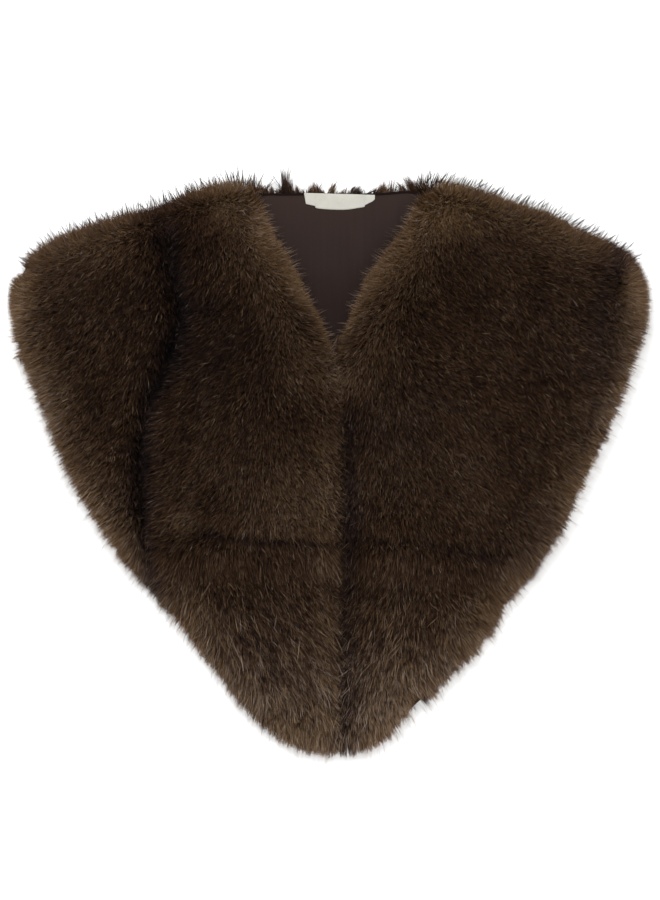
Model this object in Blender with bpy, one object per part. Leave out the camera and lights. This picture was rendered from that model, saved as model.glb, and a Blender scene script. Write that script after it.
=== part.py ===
"""Fur collar wrap, laid flat: the back fur side down, its lining up, the two fronts folded over it.

Lengths are in millimetres until a mesh is made. +X is to the right, +Y towards the neck and +Z up.
Left is the side at -X. Every panel is a loft: a ring of points for each of its sections.
"""

import bmesh
import bpy
import numpy as np

MM = 0.001
COLLECTION = "fur_collar_wrap"

# Thicknesses, from the table up. The fronts' fur stands higher where only the table is below it.
SEAM_GAP = 0.3
BACK_FUR = 12.0
LINING_WALL = 1.0
LABEL_WALL = 0.8
FRONT_FUR_ON_BACK = 28.0
FRONT_FUR_ON_TABLE = 33.0
LINING_BASE = BACK_FUR + SEAM_GAP
LINING_TOP = LINING_BASE + LINING_WALL
FRONT_SEAT = LINING_TOP + SEAM_GAP

# How the fronts' fur rounds off: over FREE_REACH at an open edge, and in a shallow valley at the join.
FREE_REACH = 27.0
FREE_WALL = 0.18
JOIN_REACH = 15.0
JOIN_WALL = 0.74
JOIN_TOP = 108.0
JOIN_LEAN = 0.16
JOIN_GAP = 0.4
LEAN_REACH = 18.0
UNDER_RISE = 5.0
UNDER_REACH = 8.0

# The drop of the fronts from the back's hem to the table.
DROP_START = 3.0
DROP_LENGTH = 26.0

# Points across a front: close together at its two edges, then even.
EDGE_STEPS = (0.0, 1.5, 4.0, 8.0, 14.0)
UNDER_STEPS = (3.0, 9.0, 18.0, 29.0)
EVEN_POINTS = 26
UNDER_POINTS = 3
SHORT_SECTION = 60.0
FRONT_SPLITS = 3
BACK_SPLITS = 2

# Line where the fronts meet, from the foot of the V to the tip.
JOIN_LINE = (
    # y, x
    (-268.0, 6.9),
    (-90.0, 8.7),
    (65.0, 8.5),
    (90.0, 6.2),
    (108.0, 3.6),
)

# Sections of each front, from the neck down to the tip: a point on its inner edge and one on its outer.
LEFT_FRONT = (
    # inner_x, inner_y, outer_x, outer_y
    (-61.5, 254.5, -76.8, 265.5),
    (-55.7, 235.0, -97.1, 262.8),
    (-48.3, 215.0, -124.7, 257.3),
    (-38.2, 200.0, -157.8, 242.6),
    (-27.1, 180.0, -196.6, 233.5),
    (-17.0, 158.0, -230.5, 222.5),
    (-6.9, 139.5, -260.8, 209.5),
    (-1.0, 124.0, -279.0, 193.0),
    (2.0, 112.0, -286.5, 179.5),
    (4.1, 93.5, -295.6, 165.0),
    (7.8, 67.0, -295.8, 134.0),
    (8.7, 34.7, -284.7, 97.2),
    (8.7, -2.1, -266.3, 53.1),
    (8.7, -43.5, -243.8, -4.1),
    (8.7, -84.9, -212.1, -57.3),
    (8.3, -126.3, -179.0, -103.4),
    (7.8, -163.1, -137.5, -149.3),
    (7.4, -199.9, -102.6, -197.1),
    (6.9, -230.3, -69.5, -234.0),
    (6.9, -250.5, -36.3, -257.9),
    (6.9, -261.6, -5.1, -267.1),
)
RIGHT_FRONT = (
    # inner_x, inner_y, outer_x, outer_y
    (78.7, 253.6, 94.3, 267.2),
    (73.1, 237.1, 118.2, 261.9),
    (64.9, 222.3, 144.0, 255.5),
    (53.8, 206.7, 171.6, 247.2),
    (41.9, 191.1, 201.0, 238.0),
    (30.8, 173.6, 228.6, 223.5),
    (22.5, 154.3, 254.4, 212.3),
    (14.3, 134.0, 278.3, 198.5),
    (8.0, 114.0, 291.2, 179.2),
    (6.6, 93.5, 295.8, 154.3),
    (8.5, 67.0, 292.6, 126.7),
    (8.7, 38.0, 280.1, 88.0),
    (8.7, 8.0, 266.3, 51.2),
    (8.7, -22.0, 252.5, 19.9),
    (8.7, -52.0, 237.8, -9.5),
    (8.7, -82.0, 221.3, -48.1),
    (8.5, -112.0, 199.2, -84.9),
    (8.2, -142.0, 174.8, -117.2),
    (7.9, -172.0, 147.7, -156.7),
    (7.6, -200.0, 118.2, -190.8),
    (7.3, -226.0, 83.3, -224.8),
    (7.0, -247.0, 53.0, -251.2),
    (6.9, -262.6, 20.7, -267.2),
)

# Sections of the back, from left to right: its shoulder or neck edge and its side or hem edge.
BACK = (
    # x, top_y, low_y
    (-292.1, 169.0, 150.6),
    (-281.1, 184.5, 108.3),
    (-261.7, 205.8, 57.7),
    (-234.1, 217.7, -0.3),
    (-206.5, 226.9, -48.1),
    (-183.5, 234.3, -63.8),
    (-151.3, 243.5, -67.5),
    (-114.5, 258.2, -68.4),
    (-82.3, 264.7, -68.4),
    (-54.7, 259.1, -69.3),
    (-27.1, 258.2, -70.2),
    (7.8, 257.3, -71.1),
    (41.9, 258.2, -72.0),
    (69.5, 261.0, -73.0),
    (94.3, 265.6, -74.8),
    (120.0, 261.0, -77.6),
    (152.3, 251.8, -77.6),
    (184.5, 241.7, -66.5),
    (207.5, 234.3, -43.5),
    (235.1, 218.7, 2.5),
    (258.1, 207.6, 53.1),
    (276.5, 196.6, 97.2),
    (288.4, 180.0, 131.3),
    (292.1, 168.0, 149.7),
)

# Rim of the back from its edge inwards. rise is the share of the step that meets the fronts at
# the shoulders.
BACK_RIM_TOP = (
    # inset, z, rise
    (0.0, 6.5, 0.0),
    (1.5, 10.4, 0.0),
    (5.0, 12.0, 1.0),
    (8.0, 12.0, 1.0),
    (10.0, 12.0, 0.0),
)
BACK_RIM_UNDER = (
    # inset, z
    (1.5, 2.6),
    (6.0, 0.0),
)
RIM_STEP = 1.2
BACK_MIDDLE = (0.3, 0.7)
LINING_INSET = 13.0
NECK_INSET = 6.0
LINING_HEM_INSET = 22.0
NECK_CENTRE = 7.8
NECK_HALF = 60.0
NECK_BLEND = 25.0

# Large folds: soft troughs along a bent line.
FOLDS = (
    # start_x, start_y, bend_x, bend_y, end_x, end_y, half_width, depth
    (-146.0, 212.0, -144.0, 177.0, -134.0, 147.0, 18.0, 12.0),  # left crease, at the shoulder
    (-134.0, 147.0, -138.0, 102.0, -161.0, 70.0, 17.0, 15.0),  # left crease, its turn
    (-161.0, 70.0, -175.0, 22.0, -168.0, -36.0, 16.0, 15.0),  # left crease, down the side
    (-168.0, -36.0, -165.0, -73.0, -160.0, -105.0, 14.0, 10.0),  # left crease, its end
    (-134.0, 152.0, -118.0, 162.0, -102.0, 162.5, 13.0, 8.0),  # branch towards the neck
    (-114.0, -72.0, -60.0, -78.0, 2.0, -79.0, 12.0, 7.0),  # over the back's hem, left
    (21.6, -76.0, 91.5, -78.0, 154.0, -90.0, 12.0, 7.0),  # over the back's hem, right
    (249.0, 154.0, 256.0, 108.0, 235.0, 35.0, 15.0, 6.0),  # band along the right side
    (265.0, 200.0, 262.0, 180.0, 254.0, 163.0, 14.0, 6.0),  # right shoulder
)
FOLD_POINTS = 25

# Broad swells where the fur stands a little higher.
SWELLS = (
    # x, y, radius, rise
    (-228.0, 120.0, 48.0, 3.0),
    (-70.0, 80.0, 62.0, 2.5),
    (105.0, 105.0, 72.0, 3.0),
    (-75.0, -150.0, 48.0, 2.0),
    (95.0, -150.0, 52.0, 2.5),
)

# Outline of the neck label about its top middle, with handles that round its lower edge.
LABEL_AT = (8.3, 250.6)
LABEL_OUTLINE = (
    # x, y, handle_type
    (-33.6, 0.0, "VECTOR"),
    (-31.0, -10.6, "VECTOR"),
    (-8.0, -14.4, "AUTO"),
    (10.0, -14.6, "AUTO"),
    (26.0, -11.4, "AUTO"),
    (33.6, -5.4, "VECTOR"),
    (33.6, 0.0, "VECTOR"),
)
LABEL_CURVE_STEPS = 8

# Colours are linear, with roughness.
FINISHES = {
    # name: (red, green, blue, roughness)
    "fur_left": (0.045, 0.026, 0.014, 0.85),
    "fur_right": (0.043, 0.025, 0.013, 0.85),
    "fur_back": (0.036, 0.021, 0.012, 0.9),
    "lining_cloth": (0.036, 0.024, 0.020, 0.7),
    "label_tape": (0.66, 0.63, 0.56, 0.8),
}


def smooth(t):
    """Rises from 0 to 1 with no kink as t goes from 0 to 1."""
    t = np.clip(t, 0.0, 1.0)
    return t * t * (3.0 - 2.0 * t)


def quarter(t):
    """Height of a quarter circle: 0 at t = 0, 1 from t = 1."""
    return np.sqrt(1.0 - (1.0 - np.clip(t, 0.0, 1.0)) ** 2)


def smooth_rows(rows, splits):
    """The rows of a table with splits steps between each two, on a Catmull-Rom curve through them."""
    rows = np.array(rows, float)
    padded = np.vstack([2 * rows[0] - rows[1], rows, 2 * rows[-1] - rows[-2]])
    steps = np.arange((len(rows) - 1) * splits)
    i = steps // splits
    t = (steps % splits / splits)[:, None]
    a, b, c, d = padded[i], padded[i + 1], padded[i + 2], padded[i + 3]
    curve = b + 0.5 * t * (c - a + t * (2 * a - 5 * b + 4 * c - d + t * (3 * (b - c) + d - a)))
    return np.vstack([curve, rows[-1]])


def distance(points, line):
    """Least distance in XY from each point to a polyline."""
    start = line[:-1]
    along = line[1:] - start
    offset = points[..., None, :] - start
    share = (offset * along).sum(-1) / np.maximum((along**2).sum(-1), 1e-9)
    nearest = offset - np.clip(share, 0.0, 1.0)[..., None] * along
    return np.sqrt((nearest**2).sum(-1)).min(-1)


def join_x(y):
    """X of the line where the two fronts meet."""
    line = np.array(JOIN_LINE)
    return np.interp(y, line[:, 0], line[:, 1])


def hem_y(x):
    """Y of the back's hem."""
    rows = np.array(BACK)
    return np.interp(x, rows[:, 0], rows[:, 2])


def fold_depth(points):
    """Depth of the deepest fold that reaches each point: a bell across a quadratic curve."""
    depth = np.zeros(points.shape[:-1])
    t = np.linspace(0.0, 1.0, FOLD_POINTS)[:, None]
    for row in FOLDS:
        start, bend, end = np.array(row[:6]).reshape(3, 2)
        half_width, most = row[6:]
        line = start * (1 - t) ** 2 + bend * 2 * t * (1 - t) + end * t**2
        bell = most * np.exp(-((distance(points, line) / half_width) ** 2))
        depth = np.maximum(depth, bell)
    return depth


def swell_rise(points):
    """Sum of the broad swells at each point, each a bell about its middle."""
    rise = np.zeros(points.shape[:-1])
    for x, y, radius, most in SWELLS:
        away = np.hypot(points[..., 0] - x, points[..., 1] - y)
        rise += most * np.exp(-((away / radius) ** 2))
    return rise


def on_back(points):
    """1 over the back, 0 where the fronts lie on the table, with a smooth drop past the hem."""
    below_hem = hem_y(points[..., 0]) - points[..., 1] - DROP_START
    return 1.0 - smooth(below_hem / DROP_LENGTH)


def place(obj, collection):
    """Puts an object in the part's collection, shaded smooth but for sharp edges."""
    collection.objects.link(obj)
    obj.data.shade_smooth()
    obj.data.set_sharp_from_angle(angle=np.radians(50))


def material(name):
    """A Principled BSDF with the named finish."""
    red, green, blue, roughness = FINISHES[name]
    made = bpy.data.materials.new(name)
    made.use_nodes = True
    shader = made.node_tree.nodes["Principled BSDF"]
    shader.inputs["Base Color"].default_value = (red, green, blue, 1.0)
    shader.inputs["Roughness"].default_value = roughness
    shader.inputs["Metallic"].default_value = 0.0
    return made


def loft(name, rings, finish, collection):
    """Closed solid through rings of equal length, each end closed by a fan about its middle."""
    count, around = rings.shape[:2]
    ring, step = np.meshgrid(np.arange(count - 1), np.arange(around), indexing="ij")
    following = (step + 1) % around
    corners = (
        ring * around + step,
        ring * around + following,
        (ring + 1) * around + following,
        (ring + 1) * around + step,
    )
    faces = np.stack(corners, -1).reshape(-1, 4).tolist()
    faces.append(list(range(around))[::-1])
    faces.append(list(range((count - 1) * around, count * around)))
    mesh = bpy.data.meshes.new(name)
    mesh.from_pydata((rings.reshape(-1, 3) * MM).tolist(), [], faces)
    tidy = bmesh.new()
    tidy.from_mesh(mesh)
    tidy.faces.ensure_lookup_table()
    bmesh.ops.poke(tidy, faces=tidy.faces[-2:])
    bmesh.ops.recalc_face_normals(tidy, faces=tidy.faces)
    tidy.to_mesh(mesh)
    tidy.free()
    mesh.materials.append(material(finish))
    place(bpy.data.objects.new(name, mesh), collection)


def front_edges(rows, side):
    """Inner and outer edge points of a front, the inner one on the join below the V. side is -1 or 1."""
    sections = smooth_rows(rows, FRONT_SPLITS)
    inner, outer = sections[:, :2].copy(), sections[:, 2:]
    joined = inner[:, 1] < JOIN_TOP
    inner[joined, 0] = join_x(inner[joined, 1]) + side * JOIN_GAP / 2
    return inner, outer, joined


def front(name, rows, side, finish, collection):
    """A front: flat below on the lining and the table, its fur rounded at the edges and folded above."""
    inner, outer, joined = front_edges(rows, side)
    free_line = np.vstack([inner[~joined][::-1], outer, inner[-1:]])
    length = np.linalg.norm(outer - inner, axis=1)[:, None]
    scale = np.minimum(1.0, length / SHORT_SECTION)
    edge = np.array(EDGE_STEPS) * scale
    under = np.array(UNDER_STEPS) * scale
    even = np.linspace(0.0, 1.0, EVEN_POINTS + 2)[1:-1]
    middle = edge[:, -1:] + even * (length - 2 * edge[:, -1:])
    under_even = np.linspace(0.0, 1.0, UNDER_POINTS + 2)[1:-1]
    under_middle = under[:, -1:] + under_even * (length - 2 * under[:, -1:])
    upper = np.hstack([edge, middle, length - edge[:, ::-1]]) / length
    lower = np.hstack([length - under, under_middle[:, ::-1], under[:, ::-1]]) / length
    share = np.hstack([upper, lower])[..., None]
    flat = inner[:, None] * (1 - share) + outer[:, None] * share
    over = on_back(flat)
    from_free = distance(flat, free_line)
    along_join = smooth((JOIN_TOP + JOIN_REACH - flat[..., 1]) / (2 * JOIN_REACH))
    from_join = np.abs(flat[..., 0] - join_x(flat[..., 1]))
    free_round = FREE_WALL + (1 - FREE_WALL) * quarter(from_free / FREE_REACH)
    join_round = JOIN_WALL + (1 - JOIN_WALL) * quarter(from_join / JOIN_REACH)
    join_round = 1 - along_join * (1 - join_round)
    fur = FRONT_FUR_ON_TABLE + (FRONT_FUR_ON_BACK - FRONT_FUR_ON_TABLE) * over
    fur = fur + swell_rise(flat) - fold_depth(flat)
    seat = FRONT_SEAT * over
    top = seat + fur * free_round * join_round
    under_round = UNDER_RISE * (1 - over) * np.clip(1 - from_free / UNDER_REACH, 0, 1) ** 2
    is_upper = np.arange(share.shape[1]) < upper.shape[1]
    z = np.where(is_upper, top, seat + under_round)
    lean = JOIN_LEAN * (z - seat) * along_join * np.exp(-from_join / LEAN_REACH)
    rings = np.stack([flat[..., 0] + lean, flat[..., 1], z], -1)
    loft(name, rings, finish, collection)


def neck_share(x):
    """1 across the neck opening, 0 under the fronts."""
    return 1.0 - smooth((np.abs(x - NECK_CENTRE) - NECK_HALF) / NECK_BLEND)


def back_panel(collection):
    """The back: flat on the table, round at its rim, with a low step outside the lining."""
    x, top_y, low_y = smooth_rows(BACK, BACK_SPLITS).T[..., None]
    rim = np.array(BACK_RIM_TOP)
    under = np.array(BACK_RIM_UNDER)
    length = top_y - low_y
    scale = np.minimum(1.0, length / SHORT_SECTION)
    step = RIM_STEP * np.clip(1 - 3 * neck_share(x), 0, 1)
    hem_z = np.tile(rim[:, 1], (len(x), 1))
    shoulder_z = hem_z + rim[:, 2] * step
    middle = low_y + length * np.array(BACK_MIDDLE)
    middle_z = np.full_like(middle, BACK_FUR)
    y = np.hstack(
        [
            low_y + rim[:, 0] * scale,
            middle,
            top_y - rim[::-1, 0] * scale,
            top_y - under[:, 0] * scale,
            low_y + under[::-1, 0] * scale,
        ]
    )
    low_z = np.tile(under[:, 1], (len(x), 1))
    z = np.hstack([hem_z, middle_z, shoulder_z[:, ::-1], low_z, low_z[:, ::-1]])
    rings = np.stack([np.broadcast_to(x, y.shape), y, z], -1)
    loft("back_panel", rings, "fur_back", collection)


def back_lining(collection):
    """The lining: a thin sheet on the back's own sections, drawn in from its edges."""
    x, top_y, low_y = smooth_rows(BACK, BACK_SPLITS)[2:-2].T[..., None]
    inset = LINING_INSET + (NECK_INSET - LINING_INSET) * neck_share(x)
    high = top_y - inset
    low = low_y + LINING_HEM_INSET
    share = np.linspace(0.0, 1.0, 4)
    y = low + (high - low) * np.hstack([share, share[::-1]])
    z = np.repeat([LINING_TOP, LINING_BASE], len(share)) + np.zeros_like(y)
    rings = np.stack([np.broadcast_to(x, y.shape), y, z], -1)
    loft("back_lining", rings, "lining_cloth", collection)


def neck_label(collection):
    """The bare label: a flat outline on the lining, straight above and rounded below."""
    curve = bpy.data.curves.new("neck_label", "CURVE")
    curve.dimensions = "2D"
    curve.fill_mode = "BOTH"
    curve.resolution_u = LABEL_CURVE_STEPS
    curve.extrude = LABEL_WALL * MM / 2
    spline = curve.splines.new("BEZIER")
    spline.bezier_points.add(len(LABEL_OUTLINE) - 1)
    spline.use_cyclic_u = True
    for point, (x, y, handle) in zip(spline.bezier_points, LABEL_OUTLINE):
        point.co = (x * MM, y * MM, 0.0)
        point.handle_left_type = handle
        point.handle_right_type = handle
    curve.materials.append(material("label_tape"))
    label = bpy.data.objects.new("neck_label", curve)
    collection.objects.link(label)
    z = LINING_TOP + SEAM_GAP + LABEL_WALL / 2
    label.location = (LABEL_AT[0] * MM, LABEL_AT[1] * MM, z * MM)


def build():
    for obj in list(bpy.data.objects):
        bpy.data.objects.remove(obj)
    collection = bpy.data.collections.new(COLLECTION)
    bpy.context.scene.collection.children.link(collection)
    back_panel(collection)
    back_lining(collection)
    neck_label(collection)
    front("front_left", LEFT_FRONT, -1, "fur_left", collection)
    front("front_right", RIGHT_FRONT, 1, "fur_right", collection)


build()
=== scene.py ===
"""Looks of a fur collar wrap that lies flat, its fronts folded over its back.

Lengths in the tables are millimetres. +X is to the right, +Y towards the neck, +Z up. Left is at -X.
Each fur panel is a skin with a dark dense underfur, dark in part as painted shade between the hairs, and on
it hairs as tapered ribbons.
"""

import bpy
import numpy as np
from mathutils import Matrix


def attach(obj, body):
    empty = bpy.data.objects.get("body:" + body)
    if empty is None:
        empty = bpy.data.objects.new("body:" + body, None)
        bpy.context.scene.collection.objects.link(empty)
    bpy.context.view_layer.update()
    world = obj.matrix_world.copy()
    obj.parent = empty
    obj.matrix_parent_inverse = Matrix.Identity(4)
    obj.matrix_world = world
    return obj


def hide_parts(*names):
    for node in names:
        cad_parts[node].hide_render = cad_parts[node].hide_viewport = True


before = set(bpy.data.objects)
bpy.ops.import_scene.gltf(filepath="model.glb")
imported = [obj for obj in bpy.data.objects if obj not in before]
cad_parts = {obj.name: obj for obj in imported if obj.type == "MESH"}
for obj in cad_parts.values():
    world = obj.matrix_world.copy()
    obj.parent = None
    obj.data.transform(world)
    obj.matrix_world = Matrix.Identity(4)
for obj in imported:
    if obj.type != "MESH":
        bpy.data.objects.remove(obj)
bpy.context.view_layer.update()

MM = 0.001
UP = np.array((0.0, 0.0, 1.0))

# Heights of the layers, from the table up.
TABLE_CLEAR = 0.3
BACK_SKIN = 2.6
BACK_TOP = 12.0
LINING_BASE = 12.3
LINING_TOP = 13.3
FRONT_SEAT = 13.6
FUR_ON_BACK = 28.0
FUR_ON_TABLE = 33.0
DROP_START = 3.0
DROP_LENGTH = 26.0
JOIN_TOP = 108.0
JOIN_BLEND = 15.0

# Line where the fronts meet, from the foot of the V to the tip.
JOIN_LINE = (
    # y, x
    (-268, 6.9),
    (-90, 8.7),
    (65, 8.5),
    (90, 6.2),
    (108, 3.6),
)

# Sections of each front, from the neck down to the tip: a point on its inner edge and one on its outer.
LEFT_FRONT = (
    # inner_x, inner_y, outer_x, outer_y
    (-61.5, 254.5, -76.8, 265.5),
    (-55.7, 235, -97.1, 262.8),
    (-48.3, 215, -124.7, 257.3),
    (-38.2, 200, -157.8, 242.6),
    (-27.1, 180, -196.6, 233.5),
    (-17, 158, -230.5, 222.5),
    (-6.9, 139.5, -260.8, 209.5),
    (-1, 124, -279, 193),
    (2, 112, -286.5, 179.5),
    (4.1, 93.5, -295.6, 165),
    (7.8, 67, -295.8, 134),
    (8.7, 34.7, -284.7, 97.2),
    (8.7, -2.1, -266.3, 53.1),
    (8.7, -43.5, -243.8, -4.1),
    (8.7, -84.9, -212.1, -57.3),
    (8.3, -126.3, -179, -103.4),
    (7.8, -163.1, -137.5, -149.3),
    (7.4, -199.9, -102.6, -197.1),
    (6.9, -230.3, -69.5, -234),
    (6.9, -250.5, -36.3, -257.9),
    (6.9, -261.6, -5.1, -267.1),
)
RIGHT_FRONT = (
    # inner_x, inner_y, outer_x, outer_y
    (78.7, 253.6, 94.3, 267.2),
    (73.1, 237.1, 118.2, 261.9),
    (64.9, 222.3, 144, 255.5),
    (53.8, 206.7, 171.6, 247.2),
    (41.9, 191.1, 201, 238),
    (30.8, 173.6, 228.6, 223.5),
    (22.5, 154.3, 254.4, 212.3),
    (14.3, 134, 278.3, 198.5),
    (8, 114, 291.2, 179.2),
    (6.6, 93.5, 295.8, 154.3),
    (8.5, 67, 292.6, 126.7),
    (8.7, 38, 280.1, 88),
    (8.7, 8, 266.3, 51.2),
    (8.7, -22, 252.5, 19.9),
    (8.7, -52, 237.8, -9.5),
    (8.7, -82, 221.3, -48.1),
    (8.5, -112, 199.2, -84.9),
    (8.2, -142, 174.8, -117.2),
    (7.9, -172, 147.7, -156.7),
    (7.6, -200, 118.2, -190.8),
    (7.3, -226, 83.3, -224.8),
    (7, -247, 53, -251.2),
    (6.9, -262.6, 20.7, -267.2),
)

# Sections of the back, from left to right: its shoulder or neck edge and its side or hem edge.
BACK = (
    # x, top_y, low_y
    (-292.1, 169, 150.6),
    (-281.1, 184.5, 108.3),
    (-261.7, 205.8, 57.7),
    (-234.1, 217.7, -0.3),
    (-206.5, 226.9, -48.1),
    (-183.5, 234.3, -63.8),
    (-151.3, 243.5, -67.5),
    (-114.5, 258.2, -68.4),
    (-82.3, 264.7, -68.4),
    (-54.7, 259.1, -69.3),
    (-27.1, 258.2, -70.2),
    (7.8, 257.3, -71.1),
    (41.9, 258.2, -72),
    (69.5, 261, -73),
    (94.3, 265.6, -74.8),
    (120, 261, -77.6),
    (152.3, 251.8, -77.6),
    (184.5, 241.7, -66.5),
    (207.5, 234.3, -43.5),
    (235.1, 218.7, 2.5),
    (258.1, 207.6, 53.1),
    (276.5, 196.6, 97.2),
    (288.4, 180, 131.3),
    (292.1, 168, 149.7),
)

# Large folds: troughs in the fur along a bent line.
FOLDS = (
    # start_x, start_y, bend_x, bend_y, end_x, end_y, half_width, depth
    (-146, 212, -144, 177, -134, 147, 12, 12),
    (-134, 147, -138, 102, -161, 70, 12, 14),
    (-161, 70, -175, 22, -168, -36, 11, 14),
    (-168, -36, -165, -73, -160, -105, 10, 10),
    (-134, 150, -120, 154, -106, 152, 12, 5),
    (-114, -60, -60, -64, 2, -69, 4, 6),
    (21.6, -62, 91.5, -64, 154, -80, 4, 4.5),
    (249, 154, 256, 108, 235, 35, 14, 5),
    (265, 200, 262, 180, 254, 163, 10, 6),
)
FOLD_POINTS = 25

# Broad swells where the fur stands a little higher.
SWELLS = (
    # x, y, radius, rise
    (-228, 120, 48, 3),
    (-70, 80, 62, 2.5),
    (105, 105, 72, 3),
    (-75, -150, 48, 2),
    (95, -150, 52, 2.5),
)

# Which way the pile lies, root to tip: an angle from +X, turning towards +Y.
LEFT_LAY = (
    # x, y, degrees
    (-82, 252, 290),
    (-147, 236, 245),
    (-211, 216, 232),
    (-257, 196, 212),
    (-287, 154, 190),
    (-276, 84, 205),
    (-239, 9, 224),
    (-204, -57, 232),
    (-165, -113, 240),
    (-128, -154, 252),
    (-82, -205, 262),
    (-36, -251, 268),
    (-220, 145, 240),
    (-202, 71, 238),
    (-186, -2, 238),
    (-165, 190, 240),
    (-110, 205, 262),
    (-116, 130, 230),
    (-104, 92, 216),
    (-132, 44, 226),
    (-138, -30, 226),
    (-133, -48, 192),
    (-84, 165, 262),
    (-66, 122, 242),
    (-73, 40, 254),
    (-82, -30, 262),
    (-27, 62, 305),
    (-27, 7, 305),
    (-13, 112, 322),
    (-32, 172, 330),
    (-54, 218, 330),
    (-9, -30, 300),
    (-27, -85, 302),
    (-73, -103, 293),
    (-119, -113, 275),
    (-73, -168, 296),
    (-22, -196, 300),
)
RIGHT_LAY = (
    # x, y, degrees
    (92, 256, -90),
    (129, 248, -62),
    (175, 234, -38),
    (221, 211, -20),
    (267, 193, -2),
    (290, 154, -24),
    (281, 90, -30),
    (249, 25, -46),
    (221, -39, -42),
    (184, -94, -50),
    (148, -150, -52),
    (111, -186, -58),
    (65, -223, -70),
    (19, -260, -88),
    (76, 212, -128),
    (53, 182, -140),
    (33, 145, -138),
    (18, 108, -120),
    (108, 192, -48),
    (203, 184, -32),
    (98, 122, -26),
    (126, 154, -50),
    (150, 142, -62),
    (184, 124, -56),
    (240, 126, -44),
    (108, 92, -34),
    (100, 46, -56),
    (134, 70, -44),
    (175, 62, -54),
    (230, 62, -52),
    (58, 99, -80),
    (37, 44, -98),
    (37, -30, -100),
    (92, -11, -62),
    (157, -11, -50),
    (203, -11, -46),
    (92, -85, -75),
    (37, -103, -112),
    (138, -85, -55),
    (37, -168, -120),
    (83, -159, -90),
    (23, -223, -100),
)
LAY_REACH = 34.0
FIRM_LAY = 0.95

# Where the fur is paler or darker than the middle of a front, and how cool its brown is.
SHADES = (
    # x, y, radius, tone, cool
    (-232, 150, 55, 0.01, 0.15),
    (-252, 60, 40, 0.02, 0.2),
    (-200, -40, 40, 0.02, 0.2),
    (-66, -192, 58, -0.03, 0.34),
    (-20, -202, 38, 0.14, 0.34),
    (46, -200, 40, 0.15, 0.4),
    (104, -192, 44, -0.01, 0.3),
    (5, -245, 50, 0, 0.25),
    (-168, 48, 20, 0.09, 0),
    (-30, -30, 44, 0.17, 0.1),
    (-55, -118, 42, 0.025, 0.15),
    (70, -118, 42, 0.03, 0.15),
    (-8, -92, 16, 0.06, 0.1),
    (-95, -10, 40, 0.04, 0.15),
    (235, 120, 60, 0.035, 0.2),
    (120, -10, 60, 0.085, 0.15),
    (52, -5, 25, 0.035, 0.3),
    (190, -75, 40, -0.04, 0.3),
    (-145, -45, 11, 0.1, 0),
    (-129, -47, 11, 0.17, 0),
    (-161, -114, 20, -0.1, 0.25),
    (-144, -139, 14, -0.09, 0.25),
    (-84, 222, 30, -0.035, 0.1),
    (24, -12, 14, 0.03, 0.4),
    (-120, 110, 45, -0.06, 0.2),
    (60, 40, 40, -0.005, 0.3),
    (-150, 228, 30, -0.2, 0.05),
    (-119, 222, 20, -0.08, 0.05),
    (258, 184, 17, -0.1, 0.35),
    (25, -40, 16, 0, 0.5),
    (-94, 243, 13, 0.06, 0.1),
    (-1, 101, 6, 0.08, 0.35),
    (4, 88, 14, 0.11, 0.35),
    (4, 113, 9, 0.1, 0.35),
)

# Where the fur's edge is parted, with a reach below zero, or stands out in a tuft.
EDGE_MARKS = (
    # x, y, radius, reach
    (-281.5, 180.5, 3.4, -10),
    (-286, 183.5, 3.6, -7),
    (-284, 195, 7, 5),
    (-293, 173, 6, 4.5),
    (-292, 130, 20, -2),
    (-99, 264, 24, 3),
    (104, 266, 22, 4),
    (180, 241, 26, -2.5),
    (226, 220, 26, -2.5),
    (218, -30, 22, -2.5),
    (163, -132, 12, -4),
    (116, -190, 15, -3),
    (-100, -195, 18, -2.5),
    (-152, -133, 9, 3),
    (38, -257, 8, 3),
    (276, 92.5, 5, -11),
    (276, 82, 4, 4),
    (266, 74.5, 5, -11),
    (114, -161, 6, -12),
    (116, -175, 5, 4),
    (84, -224, 9, -16),
    (65, -234, 9, -4),
    (104, -204, 8, -3),
    (-31, -257, 6, 3),
    (11, -264, 5, 4.5),
    (16.8, -262, 4.5, -16),
    (30, -259, 6, 2.5),
    (-147, -139, 4, -4),
    (-205, -62, 4, -4),
    (204, -74, 4, -4),
)

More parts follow.
